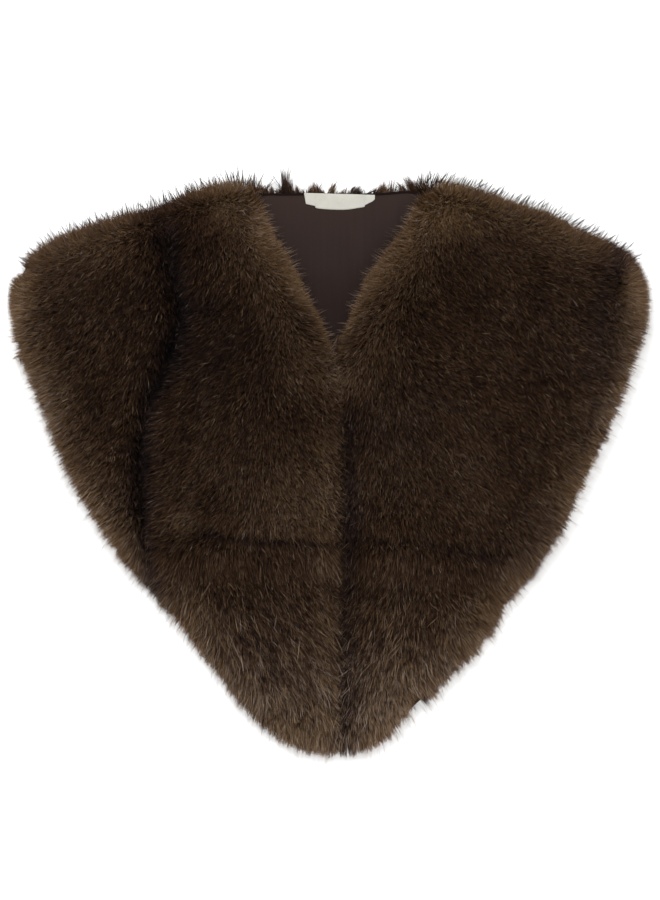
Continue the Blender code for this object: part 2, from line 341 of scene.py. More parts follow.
# Tufts of the back's pile above the neck edge, and dark tufts past the fronts: from a base, along a turn,
# drawn into a few points.
TUFTS = (
    # x, y, base_z, width, length, degrees, tone, points, hairs
    (-67, 254, 9, 14, 23, 98, 0.4, 2, 190),
    (-55, 253, 9, 10, 13, 102, 0.34, 2, 170),
    (-60, 255, 9, 7, 25, 46, 0.22, 2, 26),
    (-47, 252.5, 8, 8, 10, 96, 0.2, 1, 60),
    (-45, 253, 8, 4, 23, 150, 0.2, 1, 12),
    (-38.5, 252.5, 8, 12.5, 30, 99, 0.28, 1, 270),
    (-33, 252.5, 8, 13, 17, 93, 0.3, 2, 210),
    (-41, 253, 8, 3, 26, 128, 0.18, 1, 12),
    (-26, 252, 8, 7, 10, 96, 0.26, 1, 50),
    (-14.5, 252, 8, 19, 15, 90, 0.37, 1, 290),
    (-9, 252, 8, 9, 8, 70, 0.36, 2, 50),
    (-16, 252, 8, 3, 17, 94, 0.24, 1, 14),
    (-12, 253, 9, 2, 38, 57, 0.2, 1, 16),
    (7, 251.5, 8, 15, 15, 64, 0.46, 2, 200),
    (13, 251.5, 8, 5, 17, 50, 0.4, 2, 22),
    (28, 251.5, 8, 14, 14, 54, 0.22, 1, 170),
    (34, 252, 8, 4, 22, 38, 0.16, 1, 24),
    (49.5, 252, 8, 19, 15, 74, 0.4, 1, 260),
    (54, 252, 8, 8, 18, 84, 0.38, 2, 90),
    (63, 252.5, 8, 10, 8, 92, 0.3, 2, 60),
    (58, 252.5, 8, 4, 16, 92, 0.16, 2, 26),
    (75, 253, 9, 15, 26, 116, 0.29, 2, 300),
    (70, 254, 9, 7, 26, 136, 0.18, 2, 40),
    (84, 257, 9, 14, 21, 120, 0.32, 2, 190),
    (-128, 250, 9, 9, 21, 102, 0.14, 2, 60),
    (-106, 257, 9, 7, 18, 108, 0.2, 2, 24),
    (-188, 229, 9, 13, 17, 104, 0.16, 4, 50),
    (-214, 221, 9, 16, 16, 108, 0.16, 5, 50),
    (151, 250, 9, 12, 19, 44, 0.18, 3, 36),
    (196, 235, 9, 12, 15, 46, 0.18, 3, 28),
    (84, -212, 16, 6, 27, -61, 0.2, 1, 80),
    (73, -216, 15, 4, 24, -40, 0.16, 2, 30),
    (112, -169, 16, 7, 13, -48, 0.12, 2, 70),
)

# Wisps that close the foot of the V, where the fronts come together, in the same columns.
FOOT_WISPS = (
    (-1.5, 118, 26, 4, 24, 283, 0.38, 3, 70),
    (8.5, 118, 26, 4, 24, 258, 0.38, 3, 70),
    (0.5, 110, 28, 4, 22, 286, 0.36, 3, 80),
    (-3, 105, 29, 6, 15, 284, 0.36, 3, 80),
    (7.5, 108, 28, 4, 22, 256, 0.36, 3, 80),
    (3, 98, 30, 5, 18, 272, 0.34, 3, 90),
)


def smooth(t):
    """Rises from 0 to 1 with no kink as t goes from 0 to 1: three t squared less two t cubed."""
    t = np.clip(t, 0.0, 1.0)
    return t * t * (3.0 - 2.0 * t)


def quarter(t):
    """Height of a quarter circle: 0 at t = 0, 1 from t = 1."""
    return np.sqrt(1.0 - (1.0 - np.clip(t, 0.0, 1.0)) ** 2)


def unit(vectors):
    """Each vector at length one."""
    return vectors / np.maximum(np.linalg.norm(vectors, axis=-1, keepdims=True), 1e-9)


def hump(away, width):
    """1 where away is 0 and less on both sides: e to the power of less the square of away over width."""
    return np.exp(-((away / width) ** 2))


def bell(points, x, y, radius):
    """A hump over a spot in XY."""
    return hump(np.hypot(points[..., 0] - x, points[..., 1] - y), radius)


def fading(away, start, blend):
    """1 up to start, then smoothly down to 0 over the length of the blend."""
    return 1.0 - smooth((away - start) / blend)


def heading(turn):
    """Unit vectors in XY at those angles."""
    return np.stack([np.cos(turn), np.sin(turn)], -1)


def turned_left(vectors):
    """Vectors in XY, each turned a quarter to the left."""
    return np.stack([-vectors[:, 1], vectors[:, 0]], -1)


def smooth_rows(rows, count):
    """count rows, evenly spaced along a Catmull-Rom curve through the rows of a table."""
    rows = np.array(rows, float)
    padded = np.vstack([2 * rows[0] - rows[1], rows, 2 * rows[-1] - rows[-2]])
    at = np.linspace(0.0, len(rows) - 1.0, count)
    i = np.minimum(at.astype(int), len(rows) - 2)
    t = (at - i)[:, None]
    a, b, c, d = padded[i], padded[i + 1], padded[i + 2], padded[i + 3]
    return b + 0.5 * t * (c - a + t * (2 * a - 5 * b + 4 * c - d + t * (3 * (b - c) + d - a)))


def offset_from(points, line):
    """Shortest way in XY to each point from a polyline, one of its pieces after another."""
    shortest = np.full(points.shape, 1e9)
    for start, end in zip(line[:-1], line[1:]):
        along = end - start
        offset = points - start
        share = np.clip((offset @ along) / max(along @ along, 1e-9), 0.0, 1.0)
        away = offset - share[..., None] * along
        nearer = (away**2).sum(-1) < (shortest**2).sum(-1)
        shortest = np.where(nearer[..., None], away, shortest)
    return shortest


def distance(points, line):
    """Least distance in XY from each point to a polyline."""
    return np.linalg.norm(offset_from(points, line), axis=-1)


def outside(points, outline):
    """Signed distance in XY from each point to a closed outline, above zero outside it.

    A point is inside where a line from it crosses the outline an odd number of times.
    """
    crossed = np.zeros(points.shape[:-1], bool)
    for start, end in zip(outline[:-1], outline[1:]):
        spans = (start[1] > points[..., 1]) != (end[1] > points[..., 1])
        rise = end[1] - start[1] if end[1] != start[1] else 1e-9
        meets = start[0] + (points[..., 1] - start[1]) / rise * (end[0] - start[0])
        crossed ^= spans & (points[..., 0] < meets)
    return np.where(crossed, -1.0, 1.0) * distance(points, outline)


def join_x(y):
    """X of the line where the two fronts meet."""
    line = np.array(JOIN_LINE)
    return np.interp(y, line[:, 0], line[:, 1])


def hem_y(x):
    """Y of the back's hem."""
    rows = np.array(BACK)
    return np.interp(x, rows[:, 0], rows[:, 2])


def on_back(points):
    """1 over the back, 0 where the fronts lie on the table, with a smooth drop past the hem."""
    return fading(hem_y(points[..., 0]) - points[..., 1], DROP_START, DROP_LENGTH)


def fold_depth(points):
    """Depth of the deepest fold at each point: a hump across a quadratic curve."""
    depth = np.zeros(points.shape[:-1])
    t = np.linspace(0.0, 1.0, FOLD_POINTS)[:, None]
    for row in FOLDS:
        start, bend, end = np.array(row[:6]).reshape(3, 2)
        half_width, most = row[6:]
        line = start * (1 - t) ** 2 + bend * 2 * t * (1 - t) + end * t**2
        depth = np.maximum(depth, most * hump(distance(points, line), half_width))
    return depth


def swell_rise(points):
    """Sum of the broad swells at each point, each a bell about its middle."""
    return sum(rise * bell(points, x, y, radius) for x, y, radius, rise in SWELLS)


def blended(points, table, reach):
    """Columns of a table past its x and y, averaged at each point with a bell of that reach as weight."""
    total = np.zeros(points.shape[:-1] + (table.shape[1] - 2,))
    weights = np.full(points.shape[:-1] + (1,), 1e-12)
    for row in table:
        weight = bell(points, *row[:2], reach)[..., None]
        total += weight * row[2:]
        weights += weight
    return total / weights


def lay_of(points, table):
    """How the pile lies at each point: its angle in radians, and how firmly, from 0 at a parting to 1."""
    table = np.array(table, float)
    steps = np.column_stack([table[:, :2], heading(np.radians(table[:, 2]))])
    found = blended(points, steps, LAY_REACH)
    firm = smooth(np.hypot(found[..., 0], found[..., 1]) / FIRM_LAY)
    return np.arctan2(found[..., 1], found[..., 0]), firm


def shade_of(points):
    """Change of tone, the sum of its bells, and how cool the brown is, the highest of its bells."""
    tone = np.zeros(points.shape[:-1])
    cool = np.zeros(points.shape[:-1])
    for x, y, radius, rise, cold in SHADES:
        near = bell(points, x, y, radius)
        tone += rise * near
        cool = np.maximum(cool, cold * near)
    return tone, cool


# ---------------------------------------------------------------- shader maths


class Value:
    """A shader socket on which sums can be written as on a number."""

    def __init__(self, finish, socket):
        self.finish = finish
        self.socket = socket

    def maths(self, operation, first, second):
        """One maths node, each input a number or another socket."""
        return self.finish.node(
            "ShaderNodeMath", {"operation": operation}, {0: first, 1: second}
        )

    def __add__(self, other):
        return self.maths("ADD", self, other)

    __radd__ = __add__

    def __mul__(self, other):
        return self.maths("MULTIPLY", self, other)

    __rmul__ = __mul__

    def __sub__(self, other):
        return self.maths("SUBTRACT", self, other)

    def __rsub__(self, other):
        return self.maths("SUBTRACT", other, self)

    def __truediv__(self, other):
        return self.maths("DIVIDE", self, other)

    def __pow__(self, other):
        return self.maths("POWER", self, other)

    def above(self, edge):
        return self.maths("GREATER_THAN", self, edge)

    def part(self):
        """What is left past the whole number."""
        return self.maths("FRACT", self, 0.0)

    def ripple(self, pitch):
        """A wave from -1 to 1 along the way: the sine of 2 pi times the way over the pitch."""
        return self.maths("SINE", self * (2 * np.pi / pitch), 0.0)


class Finish:
    """A material with one Principled BSDF, and one method that adds any node."""

    def __init__(self, name, **sockets):
        self.material = bpy.data.materials.new(name)
        self.material.use_nodes = True
        self.tree = self.material.node_tree
        self.shader = self.tree.nodes["Principled BSDF"]
        for socket, value in sockets.items():
            self.set(socket.replace("_", " "), value)

    def set(self, socket, value):
        """Sets a socket of the shader to a plain value, or links it."""
        self.fill(self.shader.inputs[socket], value)

    def fill(self, socket, value):
        """Links a socket, or gives it a plain value or a colour."""
        if isinstance(value, Value):
            self.tree.links.new(value.socket, socket)
        elif isinstance(value, (tuple, list)) and len(value) == 3 and socket.type == "RGBA":
            socket.default_value = (*value, 1.0)
        else:
            socket.default_value = value

    def node(self, kind, settings, inputs, output=0):
        """Adds a node, sets it up, fills its inputs and gives one output."""
        node = self.tree.nodes.new(kind)
        for key, value in settings.items():
            if key == "stops":
                self.set_stops(node.color_ramp, value)
            else:
                setattr(node, key, value)
        for key, value in inputs.items():
            self.fill(node.inputs[key], value)
        return Value(self, node.outputs[output])

    def set_stops(self, ramp, stops):
        """Colours of a ramp, each (place, (red, green, blue))."""
        while len(ramp.elements) < len(stops):
            ramp.elements.new(1.0)
        for element, (place, colour) in zip(ramp.elements, stops):
            element.position = place
            element.color = (*colour, 1.0)

    def place(self):
        """Place on the piece, in metres."""
        return self.node("ShaderNodeTexCoord", {}, {}, "Object")

    def noise(self, at, scale, detail=2.0, rough=0.5):
        """Even grey noise from 0 to 1."""
        inputs = {"Vector": at, "Scale": scale, "Detail": detail, "Roughness": rough}
        return self.node("ShaderNodeTexNoise", {}, inputs)

    def mix(self, share, first, second):
        """A colour that goes from first to second as share goes from 0 to 1."""
        settings = {"data_type": "RGBA"}
        inputs = {0: share, 6: first, 7: second}
        return self.node("ShaderNodeMix", settings, inputs, 2)

    def split(self, vector):
        """The three numbers of a vector."""
        node = self.node("ShaderNodeSeparateXYZ", {}, {0: vector}).socket.node
        return [Value(self, output) for output in node.outputs]

    def bump(self, height, depth, strength=1.0):
        """A normal tilted by a height, with the depth in metres of its whole range."""
        inputs = {"Height": height, "Distance": depth, "Strength": strength}
        self.set("Normal", self.node("ShaderNodeBump", {}, inputs))


# Browns of the pile from its darkest hair to its palest tip, warm and cool, in linear colour.
WARM_BROWNS = (
    (0.00, (0.0046, 0.0026, 0.0020)),
    (0.20, (0.0196, 0.0096, 0.0063)),
    (0.34, (0.0508, 0.0250, 0.0145)),
    (0.50, (0.1220, 0.0695, 0.0340)),
    (0.70, (0.2400, 0.1480, 0.0760)),
    (1.00, (0.4800, 0.3400, 0.2150)),
)
COOL_BROWNS = (
    (0.00, (0.0045, 0.0045, 0.0050)),
    (0.20, (0.0190, 0.0145, 0.0148)),
    (0.34, (0.0470, 0.0266, 0.0210)),
    (0.50, (0.1150, 0.0740, 0.0550)),
    (0.70, (0.2400, 0.1680, 0.1260)),
    (1.00, (0.5200, 0.4100, 0.3300)),
)
# Painted shade along each hair: its brown darkens towards the root, deep in the coat, and the tip is paler.
ROOT_SHADE = 0.30
TIP_SHADE = 1.25

# The two colours between which each cloth varies.
# The underfur is dark in part as painted shade, so that the gaps between the hairs read as shadow.
UNDERFUR_SHADE_BROWNS = (0.004, 0.0022, 0.0015), (0.013, 0.0075, 0.0045)
LINING_BROWNS = (0.0165, 0.0092, 0.0078), (0.0310, 0.0190, 0.0155)
ROLLED_BROWNS = (0.005, 0.003, 0.0026), (0.013, 0.0078, 0.0066)
LABEL_WHITES = (0.44, 0.425, 0.375), (0.66, 0.64, 0.58)

# Threads and ribs, from one to the next, and where the lining starts to get paler out of its painted shade,
# in metres.
WEAVE_PITCH = 0.0011
RIB_PITCH = 0.0006
WARP_PITCH = 0.0009
PAINTED_SHADE_FROM = 0.19
PAINTED_SHADE_RISE = 9.0


def fur_finish():
    """Hair: U picks its brown, warm below a half and cool above, and V runs from root to tip, from painted
    shade at the root to a paler tip.
    """
    finish = Finish("hair", Roughness=0.5, Specular_IOR_Level=0.02)
    where = finish.node("ShaderNodeUVMap", {"uv_map": "OFBake"}, {})
    u, v, _ = finish.split(where)
    tone = (u * 2.0).part()
    warm = finish.node("ShaderNodeValToRGB", {"stops": WARM_BROWNS}, {0: tone})
    cool = finish.node("ShaderNodeValToRGB", {"stops": COOL_BROWNS}, {0: tone})
    brown = finish.mix(u.above(0.5), warm, cool)
    shade = ROOT_SHADE + (TIP_SHADE - ROOT_SHADE) * v
    settings = {"operation": "SCALE"}
    finish.set("Base Color", finish.node("ShaderNodeVectorMath", settings, {0: brown, "Scale": shade}))
    return finish.material


def underfur_shade_finish():
    """Dense short underfur seen between the hairs: dark, in part as painted shade for the gaps, streaked and
    soft.
    """
    finish = Finish("underfur", Roughness=0.95, Specular_IOR_Level=0.02)
    at = finish.place()
    streak = finish.noise(at, 420.0, 3.0)
    patch = finish.noise(at, 45.0, 2.0)
    share = streak * 0.6 + patch * 0.4
    finish.set("Base Color", finish.mix(share, *UNDERFUR_SHADE_BROWNS))
    finish.bump(streak, 0.0012)
    return finish.material


def lining_finish():
    """Dark brown lining: a fine plain weave with a soft uneven sheen, with painted shade that darkens it
    away from the neck.
    """
    finish = Finish("lining_cloth", Specular_IOR_Level=0.08, Sheen_Weight=0.02)
    at = finish.place()
    x, y, _ = finish.split(at)
    weave = (x.ripple(WEAVE_PITCH) * y.ripple(WEAVE_PITCH)) * 0.5 + 0.5
    mottle = finish.noise(at, 26.0, 3.0)
    grain = finish.noise(at, 900.0, 2.0)
    drawn_out = finish.node("ShaderNodeCombineXYZ", {}, {0: x, 1: y * 0.05, 2: 0.0})
    streak = finish.noise(drawn_out, 240.0, 2.0)
    # Painted shade: the lining darkens away from the neck.
    out_of_painted_shade = (y - PAINTED_SHADE_FROM) * PAINTED_SHADE_RISE
    share = weave * 0.2 + mottle * 0.3 + grain * 0.25 + streak * 0.5 + out_of_painted_shade - 0.2
    finish.set("Base Color", finish.mix(share, *LINING_BROWNS))
    finish.set("Roughness", 0.55 + grain * 0.25)
    finish.bump(weave * 0.6 + grain * 0.4, 0.00012)
    return finish.material


def rolled_edge_finish():
    """The lining's rolled edge, darker than the cloth for the shade of its own turn."""
    finish = Finish("lining_edge", Roughness=0.8, Specular_IOR_Level=0.05)
    grain = finish.noise(finish.place(), 500.0, 3.0)
    finish.set("Base Color", finish.mix(grain, *ROLLED_BROWNS))
    return finish.material


def label_finish():
    """Off-white label tape: fine cross ribs, a little soiled in places."""
    finish = Finish("label_tape", Specular_IOR_Level=0.3)
    at = finish.place()
    x, y, _ = finish.split(at)
    weave = y.ripple(RIB_PITCH) * x.ripple(WARP_PITCH) * 0.5 + 0.5
    soil = finish.noise(at, 120.0, 3.0)
    share = weave * 0.35 + soil * 0.65
    finish.set("Base Color", finish.mix(share, *LABEL_WHITES))
    finish.set("Roughness", 0.6 + soil * 0.25)
    finish.bump(weave, 0.00010)
    return finish.material


# ---------------------------------------------------------------- meshes


def add_piece(name, mesh, slot, *replaced):
    """Links a finished mesh as a piece of the part, in place of the CAD nodes that it stands for."""
    piece = bpy.data.objects.new(name, mesh)
    bpy.context.scene.collection.objects.link(piece)
    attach(piece, "root")
    if replaced:
        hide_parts(*replaced)
    return piece


def grid_faces(rows, columns, offset=0, closed=False):
    """Quads of a grid of points, row by row. closed joins the last column to the first."""
    row, column = np.meshgrid(
        np.arange(rows - 1), np.arange(columns if closed else columns - 1), indexing="ij"
    )
    following = (column + 1) % columns
    corners = (
        row * columns + column,
        row * columns + following,
        (row + 1) * columns + following,
        (row + 1) * columns + column,
    )
    return np.stack(corners, -1).reshape(-1, 4) + offset


def make_mesh(name, points, loops, starts, materials, uv=None):
    """A mesh from whole arrays: points in millimetres, corner indices and where each face starts."""
    mesh = bpy.data.meshes.new(name)
    mesh.vertices.add(len(points))
    mesh.vertices.foreach_set("co", (points * MM).astype(np.float32).ravel())
    mesh.loops.add(len(loops))
    mesh.loops.foreach_set("vertex_index", loops.astype(np.int32))
    mesh.polygons.add(len(starts))
    mesh.polygons.foreach_set("loop_start", starts.astype(np.int32))
    if uv is not None:
        layer = mesh.uv_layers.new(name="OFBake", do_init=False)
        layer.uv.foreach_set("vector", uv.astype(np.float32).ravel())
    for material in materials:
        mesh.materials.append(material)
    mesh.update(calc_edges=True)
    mesh.validate()
    mesh.shade_smooth()
    return mesh


def ring_mesh(name, rings, materials, under=None):
    """Closed shell through rings of equal length, each end closed by a fan about its middle.

    under marks the columns whose faces take the second material.
    """
    count, around = rings.shape[:2]
    quads = grid_faces(count, around, closed=True)
    middles = rings[[0, -1]].mean(1)
    points = np.vstack([rings.reshape(-1, 3), middles])
    step = np.arange(around)
    following = (step + 1) % around
    last = (count - 1) * around
    first_fan = np.stack([following, step, np.full(around, count * around)], -1)
    last_fan = np.stack([last + step, last + following, np.full(around, count * around + 1)], -1)
    fans = np.vstack([first_fan, last_fan])
    loops = np.concatenate([quads.ravel(), fans.ravel()])
    starts = np.concatenate(
        [np.arange(len(quads)) * 4, len(quads) * 4 + np.arange(len(fans)) * 3]
    )
    mesh = make_mesh(name, points, loops, starts, materials)
    if signed_volume(mesh) < 0:
        mesh.flip_normals()
    if under is not None:
        index = np.zeros(len(starts), np.int32)
        index[: len(quads)] = np.tile(under, count - 1)
        mesh.polygons.foreach_set("material_index", index)
    return mesh


def signed_volume(mesh):
    """Volume inside a closed mesh, negative if its faces point inwards."""
    mesh.calc_loop_triangles()
    points = np.empty(len(mesh.vertices) * 3, np.float32)
    mesh.vertices.foreach_get("co", points)
    faces = np.empty(len(mesh.loop_triangles) * 3, np.int32)
    mesh.loop_triangles.foreach_get("vertices", faces)
    corners = points.reshape(-1, 3)[faces.reshape(-1, 3)].astype(float)
    return float(np.einsum("ij,ij->i", corners[:, 0], np.cross(corners[:, 1], corners[:, 2])).sum() / 6)


# ---------------------------------------------------------------- the panels' skins

SECTIONS = 104
SKIN_SECTIONS = slice(3, SECTIONS - 2)
ACROSS = 84
UNDER_STEP = 5
SKIN_INSET = 7.0
TIP_INSET = 0.30
JOIN_INSET = -0.30
JOIN_GAP = 0.2
RIM_CLOSER = 0.08
SKIN_SHARE = 0.50
SKIN_ROUND = 22.0
SKIN_WALL = 0.10
JOIN_WALL = 0.78
JOIN_ROUND = 12.0
FOLD_DEEPER = 1.15
BACK_SECTIONS = 90
BACK_ACROSS = 30
BACK_INSET = 7.0
BACK_ROUND = 8.0
BACK_PINCH = 3.0
NECK_INSET = 1.5
NECK_CENTRE = 7.8
NECK_HALF = 60.0
NECK_BLEND = 25.0


def edge_normals(line, towards):
    """Unit normals in XY of a polyline, on the side of the points towards."""
    normal = turned_left(unit(np.gradient(line, axis=0)))
    return normal * np.sign(((towards - line) * normal).sum(-1, keepdims=True))


def front_edges(rows, side, count):
    """Inner and outer edges of a front at even steps, and which inner points lie on the join."""
    sections = smooth_rows(rows, count)
    inner, outer = sections[:, :2].copy(), sections[:, 2:]
    joined = inner[:, 1] < JOIN_TOP
    inner[joined, 0] = join_x(inner[joined, 1]) + side * JOIN_GAP
    return inner, outer, joined


def join_share(y):
    """0 in the V, 1 below it, where the fronts meet."""
    return smooth((JOIN_TOP + JOIN_BLEND - y) / (2 * JOIN_BLEND))


def front_skin(rows, side):
    """The skin of a front with its underfur: the grid of its top, and rings over the top and back below.

    Each section runs from the inner edge to the outer, both drawn in by the inset. Its height is the
    seat plus a share of the fur, times a quarter circle of the distance to the open edges.
    """
    inner, outer, joined = front_edges(rows, side, SECTIONS)
    inset = np.minimum(SKIN_INSET, TIP_INSET * np.linalg.norm(outer - inner, axis=1)[:, None])
    inner_inset = inset + (JOIN_INSET - inset) * join_share(inner[:, 1:2])
    inner = inner + edge_normals(inner, outer) * inner_inset
    outer = outer + edge_normals(outer, inner) * inset
    inner, outer, joined = (edge[SKIN_SECTIONS] for edge in (inner, outer, joined))
    v = np.linspace(0.0, 1.0, ACROSS)
    share = (v - RIM_CLOSER * np.sin(2 * np.pi * v))[None, :, None]
    flat = inner[:, None] * (1 - share) + outer[:, None] * share
    open_line = np.vstack([inner[~joined][::-1], outer, inner[-1:]])
    from_join = np.abs(flat[..., 0] - join_x(flat[..., 1]))
    join_round = JOIN_WALL + (1 - JOIN_WALL) * quarter(from_join / JOIN_ROUND)
    rise = SKIN_WALL + (1 - SKIN_WALL) * quarter(distance(flat, open_line) / SKIN_ROUND)
    rise = rise * (1 - join_share(flat[..., 1]) * (1 - join_round))
    over = on_back(flat)
    fur = FUR_ON_TABLE + (FUR_ON_BACK - FUR_ON_TABLE) * over
    fur = fur + swell_rise(flat) - FOLD_DEEPER * fold_depth(flat)
    seat = (FRONT_SEAT - TABLE_CLEAR) * over + TABLE_CLEAR
    top = np.dstack([flat, seat + SKIN_SHARE * fur * rise])
    low = np.dstack([flat, seat])[:, ::UNDER_STEP]
    return top, np.concatenate([top, low[:, -1:0:-1]], 1)


def neck_share(x):
    """1 along the back of the neck, 0 out along the shoulders."""
    return fading(np.abs(x - NECK_CENTRE), NECK_HALF, NECK_BLEND)


def back_skin():
    """The skin of the back, fur side down: the grid of its underside, and rings round the whole.

    Sections run from the hem to the shoulder, drawn in by the inset, with both faces rounded at the rim.
    """
    x, top_y, low_y = smooth_rows(BACK, BACK_SECTIONS)[2:-2].T[..., None]
    high = top_y - BACK_INSET - NECK_INSET * neck_share(x)
    low = low_y + BACK_INSET
    y = low + (high - low) * np.linspace(0.0, 1.0, BACK_ACROSS)
    pinch = BACK_PINCH * (1 - quarter(np.minimum(y - low, high - y) / BACK_ROUND))
    x = np.broadcast_to(x, y.shape)
    top = np.stack([x, y, BACK_TOP - pinch], -1)
    under = np.stack([x, y, BACK_SKIN + pinch], -1)
    return under, np.concatenate([top, under[:, ::-1]], 1)


# ---------------------------------------------------------------- hair

# Pieces of a hair, root to tip: its share of the length, how far it lifts off the skin, how far it droops.
PILE_PIECES = ((1.0, 1.7, 0.0),)
DOWN_PIECES = ((1.0, 1.8, 0.0),)
GUARD_PIECES = ((0.55, 2.0, 0.0), (0.45, 0.9, 0.0))
LAID_PIECES = ((0.50, 1.6, 0.0), (0.50, 0.6, 0.03))
TUFT_PIECES = ((0.35, 1.5, 0.0), (0.33, 0.7, 0.0), (0.32, 0.3, 0.06))

# Coats of a front's fur: fine down under, the pile, and long guard hairs that stand out of it.
COATS = (
    # name, pieces, hairs, length, width, tone, uneven, reach, reach_spread, stray
    ("down", DOWN_PIECES, 80000, 10.0, 0.74, 0.24, 0.050, -2.5, 2.0, 0.50),
    ("pile", PILE_PIECES, 190000, 14.0, 0.47, 0.33, 0.095, 0.1, 1.0, 0.30),
    ("guard_hair", GUARD_PIECES, 20000, 18.0, 0.30, 0.41, 0.100, 2.2, 2.0, 0.34),
)
EDGE_POINTS = 60
FULL_FOLD = 14.0

# Every hair: least and most of its length, stand and width as shares, its roll in radians.
LENGTHS = (0.80, 1.15)
STANDS = (0.85, 1.2)
WIDTHS = (0.7, 1.25)
ROLL = 0.6
TAPER = 0.75
ROOT_V = 0.01
TIP_V = 0.99
TONE_ENDS = (0.03, 0.97)
TONE_SPREAD = 0.0008
STRAYS = 0.003
LOWEST_HAIR = 0.35
SOFT_CEILING = 41.0
CEILING_PRESS = 0.65
HALVINGS = 6
STUB = 0.12
LEAST_FIRM = 0.5

# Soft swings: how far apart they come, and how far they go.
TURN_SWINGS = ((12.0, 0.17), (34.0, 0.12))
TEETH_SWINGS = ((6.5, 1.7),)
TONE_SWINGS = ((9.0, 0.035), (26.0, 0.045))
COOL_SWINGS = ((20.0, 0.13),)
COOL_SHARE = 0.24

# Locks: fine ones above and coarse ones low down, and what all hairs of a lock share.
LOCK_ROOM = (0.05, 0.95)
FINE_LOCKS = 1.5
COARSE_LOCKS = 2.6
LOCK_PULL = 0.66
PULLS = (0.5, 1.25)
LOCK_TURN = 0.10
LOCK_LONGER = 0.06
LOCK_STAND = 0.12
LOCK_TEETH = 1.1
LOCK_TONE = 0.50

# Long fur low down, where some locks of guard hair are paler, with their glint painted into the brown.
LONG_FROM = -75.0
LONG_BLEND = 90.0
SHORT_STAND = 0.25
LONG_LAID = 0.25
LONG_UNEVEN = 0.60
PAINTED_GLINT = 0.30
GLINT_FROM = 0.9
GLINT_LONGER = 0.5
GLINT_LAID = 0.45

# Bands along the edges, each solid up to a share of its width: along the V, on the crown, along the
# shoulder and down the side.
BAND_SOLID = 0.4
NECK_BAND = 9.0
NECK_BAND_ABOVE = 20.0
ABOVE_BLEND = 90.0
SHOULDER_BAND = 26.0
EDGE_BAND = 18.5
WIDE_FROM = 27.0
WIDE_BLEND = 40.0
SIDE_CLOSER = 1.25
TURN_OUT = 13.0
CROWN_FROM = 196.0
CROWN_DEPTH = 40.0
CROWN_HALF = 165.0
CROWN_BLEND = 60.0

# What the bands add to the tone, down the side as painted rim light. Pairs are for the left front and the
# right.
NECK_GOLD = 0.15
BESIDE_NECK = (0.78, 0.62)
CROWN_GOLD = (0.40, 0.82)
SHOULDER_GOLD = 0.115
PAINTED_EDGE_LIGHT = 0.115
SHOULDER_RIM = 0.07
DOWN_GOLD = 0.05
# Wide faint bands along the V and the shoulder, and painted rim light along the side.
WIDE_GOLD_AND_RIM_LIGHT = (0.12, 0.085, 0.165)
NECK_COOL = 0.8
# Painted shade in the folds: hairs darker and cooler along each crease.
CREASE_PAINTED_SHADE = 0.215
CREASE_PAINTED_SHADE_COOL = 0.8

# The strip beside the join, left and right: how far off its middle is, half its width, tone and coolness.
# On the right it is painted shadow under the lapping left front.
JOIN_STRIPS_AND_SHADOW = ((12.0, 12.0, 0.09, 0.0), (8.0, 10.0, -0.13, 0.4))
STRIP_TOP = 80.0
STRIP_BLEND = 50.0

# Plush fur, which stands in the bands: how it spreads, leans and hides its roots, leaving out their painted
# shade.
PLUSH_CROWN = 0.6
PLUSH_SHOULDER = 0.8
PLUSH_SPREAD = 0.6
PLUSH_LEAN = 0.5
PLUSH_WIDER = 0.3
PLUSH_LOOSE = 0.9
PLUSH_EVEN = 0.75
PLUSH_FLAT = 0.5
UPRIGHT = 0.5
DOWN_LAID = 0.65
SHORTER = 0.10
ROOT_HIDDEN = 0.65
EDGE_HIDDEN = 0.6
PARTED_SPREAD = 1.3
PARTED_STAND = -0.2
CREASE_SHORTER = 0.30

# How the fur ends at the outline.
FRINGE = 0.35
EDGE_LAID = 0.35
EDGE_UNEVEN = 0.7
EDGE_SWING = 1.6
NECK_EVEN = 0.6
NECK_DRAWN_IN = 1.6
SHOULDER_EVEN = 0.75
SHOULDER_CALM = 0.6
PARTED_BELOW = -0.3
LAP = 9.0
WISP = 1.8
EDGE_WISP = 2.2
FUZZ = 2.6


def surface_normals(grid, towards):
    """Unit normals of a grid of points, on the side of towards: the cross product of its two directions."""
    normal = unit(np.cross(np.gradient(grid, axis=0), np.gradient(grid, axis=1)))
    return normal * np.sign((normal * towards).sum(-1).mean())


def between(field, i, j, s, t):
    """Values of a grid past its rows i and columns j, by the shares s and t of a step."""
    near = field[i, j] * (1 - s) + field[i + 1, j] * s
    far = field[i, j + 1] * (1 - s) + field[i + 1, j + 1] * s
    return near * (1 - t) + far * t


def scatter(grid, normals, count, rng):
    """Roots spread evenly over a grid by area, with their normals."""
    a, b = grid[:-1, :-1], grid[1:, :-1]
    c, d = grid[1:, 1:], grid[:-1, 1:]
    area = 0.5 * np.linalg.norm(np.cross(c - a, d - b), axis=-1)
    total = np.cumsum(area)
    cell = np.searchsorted(total, rng.random(count) * total[-1])
    i, j = np.divmod(np.minimum(cell, area.size - 1), area.shape[1])
    s, t = rng.random(count)[:, None], rng.random(count)[:, None]
    return between(grid, i, j, s, t), unit(between(normals, i, j, s, t))


def uneven(points, spacing, rng):
    """Soft random swing from -1 to 1: random values on a grid, blended between with no kinks."""
    low = points[:, :2].min(0) - spacing
    at = (points[:, :2] - low) / spacing
    cell = at.astype(int)
    values = rng.uniform(-1, 1, cell.max(0) + 2)
    return between(values, *cell.T, *smooth(at - cell).T)


def swings(points, table, rng):
    """Sum of soft random swings, from a table of how far apart they come and how far they go."""
    return sum(most * uneven(points, spacing, rng) for spacing, most in table)


def numbered(groups):
    """The same groups under new numbers, from 0 up with none left out."""
    return np.unique(groups, return_inverse=True)[1].ravel()


